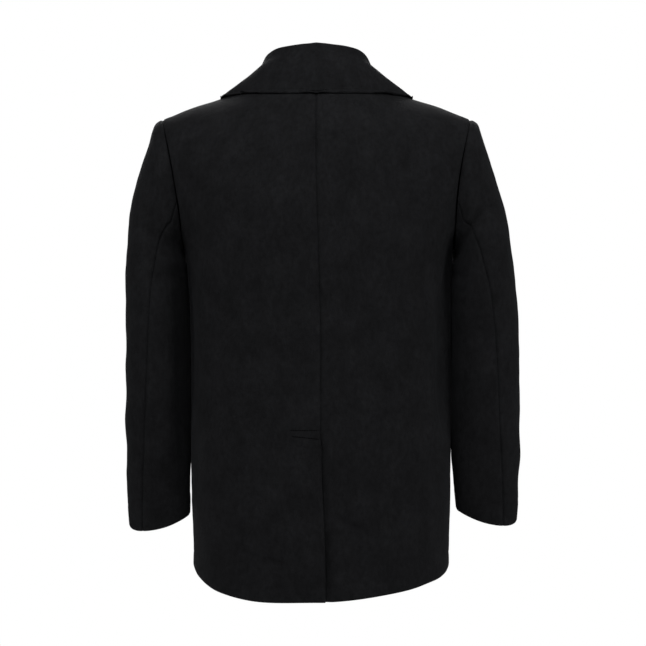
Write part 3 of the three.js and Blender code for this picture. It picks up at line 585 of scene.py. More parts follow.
# the slope between the skirt and the armhole's part, eased away from the armhole's own edge
def softened(grid, rows, shares, middle, reach, passes):
    weight = (1 - ramp(np.abs(rows - middle), 0, reach))[:, None] * (1 - ramp(shares, 0.86, 1))
    for step in range(passes):
        average = (grid[:-2] + grid[2:]) / 2
        grid[1:-1] += 0.5 * weight[1:-1, :, None] * (average - grid[1:-1])
    return grid


# backs: the left one lies over the right one at the vent
back = {
    "columns": 92, "rows": (128, 34, 54),
    "ventTopZ": -536, "ventStart": 22, "ventStandOff": 3.4, "standOffWidth": 55, "ventEdgeLift": 0.9,
    "edgeLiftWidth": 16, "ventSlide": 6.5, "slideWidth": 45, "ventDip": 3.7, "dipWidth": 14,
    "ventTrough": 2.2, "troughX": 9, "troughWidth": 5, "underlap": 44, "underlapDepth": 4.0,
    "underlapStep": 0.9, "seamCover": 0.3, "seamCoverWidth": 2, "sleeveHidesY": (16, 46),
    "unevenness": (0.55, 85, 11), "fineUnevenness": (0.14, 26, 12),
    "underlapUnevenness": (0.2, 40, 13),
    "folds": {
        "left": [(176, -165, 164, -330, 17, 5)],
        "right": [(178, -175, 166, -350, 17, 4)],
    },
    "creases": {
        "left": [
            (7, -2.4, [(187, -182), (181, -240), (176, -325)]),
            (10, 1.2, [(171, -195), (166, -250), (163, -310)]),
            (6, -2.8, [(132, -697), (87, -711), (51, -720), (8, -724)]),
            (8, 1.7, [(130, -683), (90, -696), (52, -704)]),
            (14, -1.0, [(150, -420), (143, -470), (146, -520)]),
            (3.4, -0.7, [(29, -527.5), (-6, -527.5)]),
            (3.4, -0.7, [(28, -536.5), (-6, -538.5)]),
        ],
        "right": [
            (7, -2.9, [(-22, -648), (-56, -668), (-92, -692)]),
            (8, 1.9, [(-26, -672), (-58, -690), (-84, -706)]),
            (11, 1.0, [(-182, -200), (-178, -260), (-170, -330)]),
            (12, -0.8, [(-60, -540), (-100, -556)]),
        ],
    },
    "sideTucks": {  # the hollows beside the sleeves
        "left": [
            (8, -4, [(196, -262), (192, -330), (190, -420), (190, -520)]),
        ],
        "right": [
            (11, -13, [(-208, -250), (-201, -300), (-194, -345), (-191, -400), (-191, -470),
                       (-196, -560)]),
        ],
    },
}


def foldDepth(folds, grid):
    depth = np.zeros(grid.shape[:2])
    for topX, topZ, lowX, lowZ, width, deep in folds:
        along = (grid[..., 2] - topZ) / (lowZ - topZ)
        across = (grid[..., 0] - mix(topX, lowX, along)) / width
        depth += deep * ramp(along, 0, 0.3) * (1 - ramp(along, 0.6, 1)) * np.exp(-across * across)
    return depth


def backHemTilt(grid, side):
    tilt = form["hemTilt"]
    x = grid[..., 0]
    outwards = ramp(x, 0, tilt["fullX"]) * (1 - ramp(x, tilt["fadeX"], tilt["endX"]))
    low = ramp(-grid[..., 2], -tilt["topZ"], -tilt["lowZ"])
    return (1 if side == "left" else -1) * tilt["drop"] * outwards * low


def makeBack(side):
    shares = crowded(back["columns"], 0.0035)
    rows = panelRows(*back["rows"])
    grid = formPoint("back", shares[None, :], rows[:, None])
    grid = softened(grid, rows, shares, 1, 0.14, 40)
    grid = softened(grid, rows, shares, 2, 0.3, 20)
    normal = gridNormals(grid, True)
    x, z = grid[..., 0], grid[..., 2]
    onVent = ramp(-z, -back["ventTopZ"], -back["ventTopZ"] + back["ventStart"])
    lowOnVent = ramp(-z, -back["ventTopZ"], -form["hemSideZ"])
    lift = -foldDepth(back["folds"][side], grid)
    if side == "left":
        lift += (1 - ramp(x, 0, back["standOffWidth"])) * back["ventStandOff"] * lowOnVent
        lift += (1 - ramp(x, 0, back["edgeLiftWidth"])) * back["ventEdgeLift"] * onVent
    else:
        lift -= (1 - ramp(x, 0, back["dipWidth"])) * onVent * back["ventDip"]
        fromTrough = (x - back["troughX"]) / back["troughWidth"]
        lift -= back["ventTrough"] * lowOnVent * np.exp(-fromTrough ** 2)
    grid = grid + normal * lift[..., None]
    grid[..., 2] -= backHemTilt(grid, side)
    if side == "left":
        grid[..., 0] -= back["ventSlide"] * lowOnVent * (1 - ramp(x, 0, back["slideWidth"]))
    else:
        grid[..., 0] -= back["seamCover"] * (1 - ramp(x, 0, back["seamCoverWidth"])) * (1 - onVent)
    distances = edgeDistances(grid)
    world = settle(grid, side)
    raised = (softNoise(world, *back["unevenness"]) * ramp(distances["top"], 0, 60)
              + softNoise(world, *back["fineUnevenness"])
              + creases(world, back["creases"][side])
              + creases(world, back["sideTucks"][side]) * ramp(world[..., 1], *back["sleeveHidesY"])
              + seamBulk(distances["end"], 0.3)
              + seamBulk(distances["start"], 0.3) * (1 - onVent)
              + hemTurnUp(distances["bottom"], hem["body"], 0.6, 3.2, 0.3))
    edges = {"start": (2.1, 1.8, 0), "end": (1.5, 1.6, 0), "bottom": (1.25, 1.9, 1),
             "top": (1.0, 1.6, 0)}
    name = "backLeft" if side == "left" else "backRight"
    return wallFrom(name, grid, True, raised, edges, side)


# the vent's underlap goes on from the right back's edge, behind the left back
def makeUnderlap():
    x = np.concatenate([[-3.5, -1.8, 0, 1.5, 4], np.linspace(8, back["underlap"] - 6, 12),
                        back["underlap"] - np.array([4, 2.6, 1.5, 0.7, 0])])
    z = np.concatenate([-772 + np.array([0, 0.7, 1.6, 3, 5]), np.linspace(-764, -533, 50)])
    share, row = findOnForm("back", [0, 2], stack(np.abs(x)[None, :], 0, z[:, None])[..., [0, 2]],
                            0.15, 0.4)
    grid = formPoint("back", share, row)
    normal = formNormal("back", share, row)
    mirrored = np.where(x < 0, -1, 1)[None, :]
    grid[..., 0] *= mirrored
    normal[..., 0] *= mirrored
    depth = back["underlapDepth"] + back["underlapStep"] * (1 - ramp(x, -3.5, 0))
    grid = grid - normal * depth[None, :, None]
    edges = {"end": (1.1, 1.6, 1), "bottom": (1.1, 1.7, 1)}
    raised = softNoise(grid, *back["underlapUnevenness"])
    return wallFrom("backUnderlap", grid, True, raised, edges, "left")


backLeft = makeBack("left")
backRight = joinPieces(makeBack("right"), makeUnderlap())
for piece in (backLeft, backRight):
    piece.data.materials.clear()
    piece.data.materials.append(wool)
ventStitches = []
ventRows = {"starts": ((29, -527.5), (26.5, -537)), "endX": -5.5, "slope": 0.1}
for place, (startX, z) in enumerate(ventRows["starts"]):
    path = [(x, 0, z - (startX - x) * ventRows["slope"] * place)
            for x in np.linspace(startX + 8, ventRows["endX"], 40)]
    ventStitches.append(stitchAlong(f"ventStitch{place + 1}", backLeft, path, (0, -1, 0), width=1.2,
                                    pitch=3.3))
ventStitch = joinPieces(*ventStitches)
ventStitch.name = "ventStitches"
print("backs made")


# sleeves: ring 0 is the armhole seam, ring 15 the cuff. Outer and inner ends, reach to back and front.
sleeve = {
    "columns": {"top": 74, "under": 54}, "cuffLiftRight": 8, "cuffSwing": -3,
    "cuffRise": 1.5, "cuffCornerLift": 6, "cuffCornerPower": 12,
    "unevenness": (0.75, 75, 21), "fineUnevenness": (0.14, 24, 22), "easePuckers": 0.28,
    "puckerWaves": (0.33, 0.21), "puckerReach": (4, 12, 34), "capRidge": 0.5, "sideSeamBulk": (0.25, 9),
    "armpitFill": 1.5, "armpitX": (204, 214), "armpitRings": (4, 6, 9, 12),
    "besideBodyX": (205, 235), "besideBodyShare": 0.3,
    "creases": {
        "left": [
            (12, -3.2, [(272, -226), (244, -243), (206, -262)]),
            (12, -1.8, [(262, -262), (246, -290)]),
            (6, 1.6, [(238, -278), (204, -287)]),
            (8, -2.8, [(238, -300), (206, -310)]),
            (11, -9, [(202, -300), (200, -380), (199, -480), (201, -600)]),
            (11, -1.5, [(255, -330), (225, -372), (214, -400)]),
            (12, -0.8, [(228, -480), (258, -500)]),
        ],
        "right": [
            (5, -0.9, [(-226, -140), (-233, -118)]),
            (5, -0.8, [(-232, -175), (-240, -150)]),
            (7, -6.5, [(-272, -196), (-248, -210), (-231, -228), (-218, -250), (-210, -285)]),
            (9, 2.4, [(-262, -222), (-242, -238), (-230, -262)]),
            (6, -2.0, [(-205, -296), (-226, -309)]),
            (7, -2.1, [(-207, -340), (-238, -357)]),
            (11, -1.3, [(-250, -420), (-226, -450)]),
            (12, -1.4, [(-262, -250), (-252, -290)]),
        ],
    },
    "hiddenCreases": {
        "left": [
            (8, -1.8, [(216, -402), (262, -384)]),
            (9, -1.6, [(214, -432), (268, -420)]),
            (9, -1.1, [(222, -470), (262, -466)]),
            (8, -1.2, [(224, -190), (232, -250)]),
        ],
        "right": [
            (8, -1.9, [(-228, -398), (-272, -378)]),
            (9, -1.5, [(-226, -428), (-280, -414)]),
            (9, -1.1, [(-238, -468), (-276, -460)]),
            (8, -1.2, [(-226, -190), (-234, -252)]),
        ],
    },
}
sleeveRings = table(
    "ring outX outZ inX inZ back front scoop square",
    (0, 235, -62, 205, -262, 73, 77, 8, 2), (1, 240.5, -64.8, 205.4, -264, 76, 79.5, 5, 2),
    (2, 246, -69.3, 205.8, -266, 77.5, 81, 2, 2), (3, 249.5, -77, 206.2, -268, 78, 81.5, 0, 2.05),
    (4, 255.5, -97, 206.2, -271, 77.5, 81, 0, 2.1), (5, 267, -133, 206, -276, 76, 79.5, 0, 2.15),
    (6, 279, -170, 205.3, -283, 74.5, 78, 0, 2.2), (7, 288, -210, 204.4, -293, 73.5, 77, 0, 2.25),
    (8, 292.5, -252, 203, -308, 72, 76, 0, 2.3), (9, 297, -304, 201.4, -336, 70, 75, 0, 2.3),
    (10, 299.5, -365, 200.2, -384, 67, 73, 0, 2.3), (11, 301, -435, 199.5, -444, 64, 71, 0, 2.3),
    (12, 301.5, -510, 199.4, -512, 57, 73, 0, 2.3), (13, 301, -580, 200, -576, 45, 78, 0, 2.3),
    (14, 299.5, -638, 203, -627, 31, 83, 0, 2.25), (15, 297, -691.5, 205, -668, 17, 87, 0, 2.2))
seamAngles = table("ring elbow inseam", (0, 108, -126), (3, 120, -126), (5, 110, -126),
                   (8, 93, -126), (10, 83, -124), (12, 76, -120), (15, 61, -116))


def sleevePoint(ring, degrees, side):
    here = rowAt(sleeveRings, "ring", ring)
    turn = np.radians(degrees)
    sideways = signedPower(np.cos(turn), 2 / here["square"])
    lengthways = signedPower(np.sin(turn), 2 / here["square"])
    outwards = (1 + sideways) / 2
    x = mix(here["inX"], here["outX"], outwards) - here["scoop"] * np.sin(turn) ** 2
    y = np.where(lengthways > 0, here["back"], here["front"]) * lengthways
    rise = 1 - (1 - outwards) ** (1 + sleeve["cuffRise"] * ramp(ring, 12, 15))
    corner = sleeve["cuffCornerLift"] * ramp(ring, 14, 15) * outwards ** sleeve["cuffCornerPower"]
    z = mix(here["inZ"], here["outZ"], rise) + corner
    lift = sleeve["cuffLiftRight"] * ramp(ring, 8, 15) if side == "right" else 0
    swing = sleeve["cuffSwing"] * mix(ramp(ring, 13, 15), ramp(ring, 6, 13), outwards)
    swing = -swing if side == "right" else swing
    return stack(x + swing, y, z + lift)


def makeSleevePiece(kind, side):
    rings = np.concatenate([np.linspace(0, 1, 9), np.linspace(1, 4, 22)[1:],
                            np.linspace(4, 14.8, 118)[1:], 15 - 0.024 * rolled[::-1]])[:, None]
    shares = crowded(sleeve["columns"][kind], 0.005 if kind == "top" else 0.007)[None, :]
    shares = mix(0.0007, 0.9993, shares)
    elbow, inseam = seamAngles["elbow"][0], seamAngles["inseam"][0]
    here = rowAt(seamAngles, "ring", rings)
    if kind == "top":
        column = mix(inseam, elbow, shares)
        degrees = np.where(column > 0, column * here["elbow"] / elbow,
                           column * here["inseam"] / inseam)
    else:
        degrees = mix(here["elbow"], 360 + here["inseam"], shares)
    grid = sleevePoint(rings, degrees, side)
    grid[..., 0] += form["seamGap"] / 2 * (1 - ramp(rings, 0, 1))
    distances = edgeDistances(grid)
    world = settle(grid, side)
    facesBack = ramp(world[..., 1], -6, 14)
    offBody = mix(sleeve["besideBodyShare"], 1, ramp(grid[..., 0], *sleeve["besideBodyX"]))
    begin, full, fade, end = sleeve["armpitRings"]
    nearArmpit = ramp(rings, begin, full) * (1 - ramp(rings, fade, end))
    nearArmpit = nearArmpit * (1 - ramp(grid[..., 0], *sleeve["armpitX"]))
    full, fade, end = sleeve["puckerReach"]
    onCap = ramp(distances["bottom"], 0, full) * (1 - ramp(distances["bottom"], fade, end))
    waves = world[..., 1] * sleeve["puckerWaves"][0] + world[..., 2] * sleeve["puckerWaves"][1]
    raised = (softNoise(world, *sleeve["unevenness"]) * offBody
              * ramp(distances["bottom"], 5, 60) + sleeve["armpitFill"] * nearArmpit
              + softNoise(world, *sleeve["fineUnevenness"])
              + creases(world, sleeve["creases"][side]) * facesBack
              + creases(world, sleeve["hiddenCreases"][side]) * (1 - facesBack)
              + sleeve["easePuckers"] * onCap * np.sin(waves)
              + seamBulk(distances["start"], *sleeve["sideSeamBulk"])
              + seamBulk(distances["end"], *sleeve["sideSeamBulk"])
              + sleeve["capRidge"] * ramp(distances["bottom"], 1, 5)
              * (1 - ramp(distances["bottom"], 9, 22))
              + hemTurnUp(distances["top"], hem["cuff"], 0.22, 2.4, 0.25))
    edges = {"start": (1.9, 1.7, 0), "end": (1.9, 1.7, 0), "bottom": (1.2, 1.6, 0),
             "top": (1.25, 1.9, 1)}
    name = f"{kind}Sleeve{side.capitalize()}"
    return wallFrom(name, grid, True, raised, edges, side)


sleevePieces = {}
for side in ("left", "right"):
    for kind in ("top", "under"):
        piece = makeSleevePiece(kind, side)
        piece.data.materials.append(wool)
        sleevePieces[f"{kind}_sleeve_{side}"] = piece
print("sleeves made")


# fronts: the left one laps over the right one
front = {
    "columns": 84, "rows": (84, 24, 40), "lapShoulder": 50, "lapMargin": 30, "lapelLoft": 1.25,
    "lapFadeLow": 45, "lapFadeHigh": 80, "unevenness": (0.6, 90, 31),
    "fineUnevenness": (0.14, 26, 32),
    "creases": {
        "left": [
            (13, -2.2, [(182, -190), (176, -260), (172, -330)]),
            (13, -0.9, [(-40, -352), (10, -362), (50, -350)]),
            (12, -0.9, [(-44, -560), (4, -585), (52, -600)]),
            (12, -0.8, [(90, -640), (140, -660)]),
        ],
        "right": [
            (13, -2.2, [(-184, -190), (-180, -262), (-178, -335)]),
            (11, -0.9, [(-172, -420), (-120, -440)]),
            (12, -0.9, [(-165, -640), (-105, -655)]),
        ],
    },
}
lapel = {
    "pointX": 146, "pointZ": -120, "belly": 6, "rows": 13, "pointRow": 10, "gap": 1.45,
    "firstRow": 1.03, "edgeBulk": 0.35, "unevenness": (0.45, 60, 41),
}
collar = {
    "rollRow": 5 / 8, "pointX": 136, "pointZ": -72, "notchX": 98, "edgeHalfWidth": 147,
    "edgeBulk": 0.4, "easings": 70,
    "unevenness": (0.5, 70, 51), "fineUnevenness": (0.12, 24, 52), "edgeWave": (0.5, 45, 53),
}


def lapLift(grid):
    x, z = grid[..., 0], grid[..., 2]
    over = form["overlap"]
    underneath = 1 - ramp(x, over + 6, over + 6 + front["lapShoulder"])
    height = z - form["underarmZ"]
    rise = (form["neckPointZ"] - form["underarmZ"]) / (form["neckHalfWidth"] + over)
    lapelRise = (lapel["pointZ"] - form["underarmZ"]) / (lapel["pointX"] + over)
    aboveRoll = height - (over - x) * rise
    aboveLapel = height - (over - x) * lapelRise
    margin = front["lapMargin"]
    onFront = underneath * (1 - ramp(aboveRoll, margin, margin + front["lapFadeHigh"]))
    onLapel = ramp(aboveLapel, -margin - front["lapFadeLow"], -margin)
    return (form["cloth"] + form["layerGap"]) * onFront * (1 + front["lapelLoft"] * onLapel)


def onFront(x, z, side):
    guess = np.clip(x / 220, 0.1, 0.9)
    share, row = findOnForm("front", [0, 2], stack(x, 0, z)[..., [0, 2]], guess,
                            np.where(z < form["underarmZ"], 0.8, 2.2))
    point = formPoint("front", share, row)
    normal = formNormal("front", share, row)
    if side == "left":
        point = point + normal * lapLift(point)[..., None]
    return point, normal


def makeFront(side):
    shares = crowded(front["columns"], 0.0035)
    rows = panelRows(*front["rows"])
    grid = formPoint("front", shares[None, :], rows[:, None])
    grid = softened(grid, rows, shares, 1, 0.1, 14)
    grid = softened(grid, rows, shares, 2, 0.25, 12)
    if side == "left":
        grid = grid + gridNormals(grid, False) * lapLift(grid)[..., None]
    distances = edgeDistances(grid)
    world = settle(grid, side)
    raised = (softNoise(world, *front["unevenness"]) * ramp(distances["start"], 10, 60)
              * ramp(distances["top"], 0, 60) + softNoise(world, *front["fineUnevenness"])
              + creases(world, front["creases"][side]) * ramp(distances["start"], 0, 30)
              + seamBulk(distances["end"], 0.3)
              + hemTurnUp(distances["bottom"], hem["body"], 0.28, 2.2))
    edges = {"start": (1.2, 1.8, 1), "end": (1.2, 1.6, 0), "bottom": (1.25, 1.9, 1),
             "top": (1.0, 1.6, 0)}
    return wallFrom(f"front{side.capitalize()}", grid, False, raised, edges, side)


def makeLapel(side):
    roll = formPoint("front", 0, 2 + collar["rollRow"])
    slope = (collar["pointZ"] - roll[2]) / (collar["pointX"] - roll[0])
    notchZ = roll[2] + slope * (collar["notchX"] - roll[0])
    last, point = lapel["rows"], lapel["pointRow"]
    rows = np.concatenate([0.06 * rolled, np.linspace(0.5, point, 48),
                           np.linspace(point, last - 0.55, 16)[1:], last - 0.08 * rolled[::-1]])
    start = formPoint("front", 0, mix(lapel["firstRow"], 2 + collar["rollRow"], rows / last))
    low = mix(0.035, 1, np.minimum(rows / point, 1))
    high = np.clip((rows - point) / (last - point), 0, 1)
    endX = mix(-form["overlap"], lapel["pointX"], low)
    endZ = mix(form["underarmZ"], lapel["pointZ"], low) - lapel["belly"] * np.sin(low * math.pi)
    endX = np.where(rows > point, mix(lapel["pointX"], collar["notchX"], high), endX)
    endZ = np.where(rows > point, mix(lapel["pointZ"], notchZ, high), endZ)
    shares = crowded(44, 0.011)[None, :]
    x = mix(start[:, None, 0], endX[:, None], shares)
    z = mix(start[:, None, 2], endZ[:, None], shares)
    z = z - form["seamGap"] * ramp(rows, last - 1, last)[:, None]
    surface, normal = onFront(x, z, side)
    grid = surface + normal * (lapel["gap"] + form["cloth"])
    distances = edgeDistances(grid)
    free = np.minimum(distances["end"], np.minimum(distances["bottom"], distances["top"]))
    raised = (softNoise(grid, *lapel["unevenness"])
              * ramp(free, 0, 25) * ramp(distances["start"], 0, 25)
              + lapel["edgeBulk"] * (1 - ramp(free, 5, 9)))
    edges = {"start": (2.4, 3.4, 0.2), "end": (1.25, 1.9, 1), "bottom": (1.2, 1.9, 1),
             "top": (1.2, 1.9, 1)}
    return wallFrom(f"lapel{side.capitalize()}", grid, False, raised, edges, side)


frontPieces = {side: makeFront(side) for side in ("left", "right")}
lapelPieces = {side: makeLapel(side) for side in ("left", "right")}
for piece in (*frontPieces.values(), *lapelPieces.values()):
    piece.data.materials.append(wool)
print("fronts and lapels made")


# collar: stand and fall in one piece. Stations run from the centre back (0) over the neck point (1)
# to the front end (2).
collarEdgeLine = table("x z", (0, -36), (60, -34.5), (92, -31), (126, -27.5), (147, -29.8))
collarRoll = table("station rise lift sideShape", (0, 47, 43, 0), (0.5, 41.5, 33.5, 0.1),
                   (0.8, 30.5, 18, 0.5), (1, 22.5, 9.5, 0.9), (1.5, 14, 6, 0.7), (2, 8, 3.5, 0.3))


def throughPoints(points, places):
    # a smooth curve through guide points, at places that count them
    count = points.shape[-2]
    curve = []
    for place in places:
        low = min(int(place), count - 2)
        share = place - low
        p1, p2 = points[..., low, :], points[..., low + 1, :]
        p0 = points[..., low - 1, :] if low > 0 else 2 * p1 - p2
        p3 = points[..., low + 2, :] if low < count - 2 else 2 * p2 - p1
        d0, d1, d2 = [np.maximum(np.sqrt(np.linalg.norm(b - a, axis=-1, keepdims=True)), 1e-3)
                      for a, b in ((p0, p1), (p1, p2), (p2, p3))]
        t1 = ((p1 - p0) / d0 - (p2 - p0) / (d0 + d1) + (p2 - p1) / d1) * d1
        t2 = ((p2 - p1) / d1 - (p3 - p1) / (d1 + d2) + (p3 - p2) / d2) * d1
        curve.append(p1 + t1 * share + (-3 * p1 + 3 * p2 - 2 * t1 - t2) * share ** 2
                     + (2 * p1 - 2 * p2 + t1 + t2) * share ** 3)
    return np.stack(curve, axis=-2)


def makeCollar():
    share, row = findOnForm("front", [0, 2], np.array([[collar["pointX"], collar["pointZ"]]]), 0.5, 2.5)
    corner = formPoint("front", share, row)[0]
    stations = np.concatenate([np.linspace(0, 1, 56), np.linspace(1, 1.9, 34)[1:],
                               2 - 0.0145 * rolled[::-1]])
    onBack = stations <= 1
    seam = np.where(onBack[:, None], topEdge("back", np.minimum(stations, 1) * form["neckShare"]),
                    formPoint("front", 0, mix(3, 2 + collar["rollRow"], np.maximum(stations - 1, 0))))
    edgeX = collar["edgeHalfWidth"] * np.sin(np.minimum(stations, 1) * math.pi / 2)
    edgeZ = rowAt(collarEdgeLine, "x", edgeX)["z"]
    share, row = findOnForm("back", [0, 2], np.stack([edgeX, edgeZ], axis=-1), edgeX / 230, 2.75)
    edgeY = np.where(onBack, formPoint("back", share, row)[:, 1] * (stations < 1), 0)
    past = np.maximum(stations - 1, 0)
    edgeX = np.where(onBack, edgeX, mix(collar["edgeHalfWidth"], corner[0], past * past))
    edgeY = np.where(onBack, edgeY, corner[1] * past)
    outwards = unit(stack(edgeX - seam[:, 0], edgeY - seam[:, 1], 0))
    roll = rowAt(collarRoll, "station", stations)
    half = form["cloth"] / 2
    guides = [seam + outwards * out + stack(0, 0, up) for out, up in (
        (-half, np.full(len(stations), form["seamGap"] + 0.3)), (-half - 1, roll["rise"] * 0.45),
        (-half - 2, roll["rise"] * 0.8), (1, roll["rise"] - half))]
    start = formPoint("front", 0, 2 + collar["rollRow"])
    for along in (0.14, 0.32, 0.52, 0.76, 1):
        bowX, bowZ = mix(start[0], corner[0], along), mix(start[2], corner[2], along)
        share, row = findOnForm("front", [0, 2], np.array([[bowX, bowZ]]), 0.4, 2.5)
        bow = formPoint("front", share, row)[0, 1] - mix(start[1], corner[1], along)
        x = mix(seam[:, 0], edgeX, along)
        y = mix(seam[:, 1], edgeY, along) + past ** 2 * bow
        base = np.zeros((len(stations), 3))
        normal = np.zeros((len(stations), 3))
        for side, chosen in (("back", y >= 0), ("front", y < 0)):
            guess = np.clip(x[chosen] / 230, 0.05, 0.95)
            share, row = findOnForm(side, [0, 1], np.stack([x, y], axis=-1)[chosen], guess, 2.7)
            base[chosen] = formPoint(side, share, row)
            normal[chosen] = formNormal(side, share, row)
        fading = mix((1 - along) ** 1.2, 1 - along ** 3, roll["sideShape"])
        lift = form["layerGap"] + half + roll["lift"] * fading
        direction = unit(mix(np.array([0, 0, 1]), normal, along))
        guides.append(base + direction * lift[:, None])
    places = np.concatenate([np.linspace(0, 2, 12), np.linspace(2, 5, 30)[1:],
                             np.linspace(5, 7.8, 34)[1:], 8 - 0.055 * rolled[::-1]])
    lines = throughPoints(np.stack(guides, axis=1), places)
    for step in range(collar["easings"]):
        average = (lines[:-2] + lines[2:]) / 2
        lines[1:-1, 1:-1] += 0.5 * (average - lines[1:-1])[:, 1:-1]
    middle = np.concatenate([settle(lines, "right")[:0:-1], settle(lines, "left")])
    grid = middle + gridNormals(middle, True) * half
    distances = edgeDistances(grid)
    ends = np.minimum(distances["bottom"], distances["top"])
    raised = (softNoise(grid, *collar["unevenness"]) * ramp(distances["start"], 20, 60)
              + softNoise(grid, *collar["fineUnevenness"])
              + softNoise(grid, *collar["edgeWave"]) * (1 - ramp(distances["end"], 0, 30))
              * ramp(ends, 0, 40)
              + collar["edgeBulk"] * (1 - ramp(np.minimum(distances["end"], ends), 6, 10)))
    edges = {"end": (1.3, 2, 1), "bottom": (1.2, 1.9, 1), "top": (1.2, 1.9, 1),
             "start": (1.0, 1.5, 0)}
    return wallFrom("collarCloth", grid, True, raised, edges)


collarCloth = makeCollar()
collarCloth.data.materials.append(wool)
print("collar made")


# pocket welts
welt = {"topX": 118, "topZ": -462, "length": 165, "width": 26, "slant": 9, "inset": 0.4,
        "stitchLine": 5, "unevenness": (0.15, 40, 61)}


def makeWelt(side):
    slant = math.radians(welt["slant"])
    down = welt["length"] * crowded(50, 0.005)[:, None]
    across = welt["width"] * crowded(12, 0.03)[None, :]
    x = welt["topX"] + down * math.sin(slant) + across * math.cos(slant)
    z = welt["topZ"] - down * math.cos(slant) + across * math.sin(slant)
    surface, normal = onFront(x, z, side)
    grid = surface + normal * (welt["inset"] + form["cloth"])
    raised = softNoise(grid, *welt["unevenness"])
    edges = dict.fromkeys(("start", "end", "bottom", "top"), (1.1, 1.7, 0.4))
    return wallFrom(f"pocketWelt{side.capitalize()}", grid, True, raised, edges, side)


welts = {side: makeWelt(side) for side in ("left", "right")}
for piece in welts.values():
    piece.data.materials.append(wool)


def worldPath(points, side):
    return settle(np.array([(x, 0, z) for x, z in points], float), side)


def weltLine(across, first, last):
    slant = math.radians(welt["slant"])
    down = np.linspace(first, last, 60)
    return [(welt["topX"] + d * math.sin(slant) + across * math.cos(slant),
             welt["topZ"] - d * math.cos(slant) + across * math.sin(slant)) for d in down]


weltStitches = {}
for side in ("left", "right"):
    line = worldPath(weltLine(welt["stitchLine"], 3, welt["length"] - 3), side)
    weltStitches[side] = stitchAlong(f"weltStitches{side.capitalize()}", welts[side], line, (0, 1, 0))
print("welts made")


# buttons: turned once, then copied, each with its own thread
button = {
    "radius": 15, "thickness": 4.6, "rim": 3.2, "slope": 0.9, "dish": 1.2, "floorRing": 1.6,
    "floorSink": 0.15, "softEdge": 0.9, "holeRadius": 1.5, "holeSpacing": 5.4,
    "columnX": 64, "topZ": -338, "pitch": 104, "rows": 3, "threadRadius": 0.55,
    "offCloth": 0.75, "holeLength": 26, "holePastButton": 4, "holeHalfWidth": 1.5,
}


def selectFaces(piece, rule):
    for face in piece.data.polygons:
        face.select = rule(face)
    for edge in piece.data.edges:
        edge.select = False
    for vertex in piece.data.vertices:
        vertex.select = False


def cylinderAt(radius, depth, place, sides):
    bpy.ops.object.select_all(action="DESELECT")
    bpy.ops.mesh.primitive_cylinder_add(vertices=sides, radius=radius * toMetres,
                                        depth=depth * toMetres, location=Vector(place) * toMetres)
    return bpy.context.active_object


def makeButton():
    size = button
    disc = cylinderAt(size["radius"], size["thickness"], (0, 0, size["thickness"] / 2), 48)
    disc.name = "button"
    selectFaces(disc, lambda face: face.normal.z > 0.9)
    bpy.ops.object.mode_set(mode="EDIT")
    bpy.ops.mesh.inset(thickness=size["rim"] * toMetres)
    bpy.ops.mesh.inset(thickness=size["slope"] * toMetres, depth=-size["dish"] * toMetres)
    bpy.ops.mesh.inset(thickness=size["floorRing"] * toMetres, depth=-size["floorSink"] * toMetres)
    bpy.ops.object.mode_set(mode="OBJECT")
    bpy.ops.object.transform_apply(location=True, rotation=True, scale=True)
    bevel = disc.modifiers.new("softEdges", "BEVEL")
    bevel.width = size["softEdge"] * toMetres
    bevel.segments = 3
    bevel.limit_method = "ANGLE"
    bevel.angle_limit = math.radians(35)
    bpy.ops.object.modifier_apply(modifier=bevel.name)
    for x in (-1, 1):
        for y in (-1, 1):
            place = (x * size["holeSpacing"] / 2, y * size["holeSpacing"] / 2, 2)
            drill = cylinderAt(size["holeRadius"], 12, place, 20)
            cut = disc.modifiers.new("hole", "BOOLEAN")
            cut.operation = "DIFFERENCE"
            cut.object = drill
            bpy.context.view_layer.objects.active = disc
            bpy.ops.object.modifier_apply(modifier=cut.name)
            bpy.data.objects.remove(drill)
    disc.data.materials.append(buttonPlastic)
    strands = []
    top = size["thickness"] - size["dish"] + 0.35
    for x, y in ((-1, -1), (-1, 1), (1, -1), (1, 1)):
        reach = size["holeSpacing"] / 2
        shifts = (-size["threadRadius"], 0, size["threadRadius"]) if y < 0 else ()
        for shift in shifts:
            across = cylinderAt(size["threadRadius"], size["holeSpacing"] + 0.6,
                                (x * reach + shift, 0, top + 0.1 * (shift == 0)), 8)
            across.rotation_euler = (math.pi / 2, 0, 0)
            strands.append(across)
        down = cylinderAt(size["holeRadius"] * 0.75, size["thickness"] + 0.2,
                          (x * reach, y * reach, size["thickness"] / 2 - 0.5), 8)
        strands.append(down)
    for strand in strands:
        strand.data.materials.append(thread)
    joinPieces(disc, *strands)
    disc.select_set(True)
    bpy.ops.object.transform_apply(location=True, rotation=True, scale=True)
    bpy.ops.object.shade_smooth_by_angle(angle=math.radians(40))
    disc.select_set(False)
    return disc


firstButton = makeButton()
buttons = []
for row in range(button["rows"]):
    for x in (-button["columnX"], button["columnX"]):
        z = button["topZ"] - row * button["pitch"]
        point, normal = onFront(np.array([float(x)]), np.array([float(z)]), "left")
        seat = settle(point + normal * button["offCloth"], "left")[0] * toMetres
        piece = firstButton.copy()
        piece.data = firstButton.data.copy()
        piece.name = f"coatButton{len(buttons) + 1}"
        bpy.context.scene.collection.objects.link(piece)
        turned = Vector(normal[0]).to_track_quat("Z", "Y").to_matrix().to_4x4()
        piece.data.transform(turned)
        for vertex in piece.data.vertices:
            vertex.co += Vector(seat)
        buttons.append(piece)
bpy.data.objects.remove(firstButton)
print("buttons made")


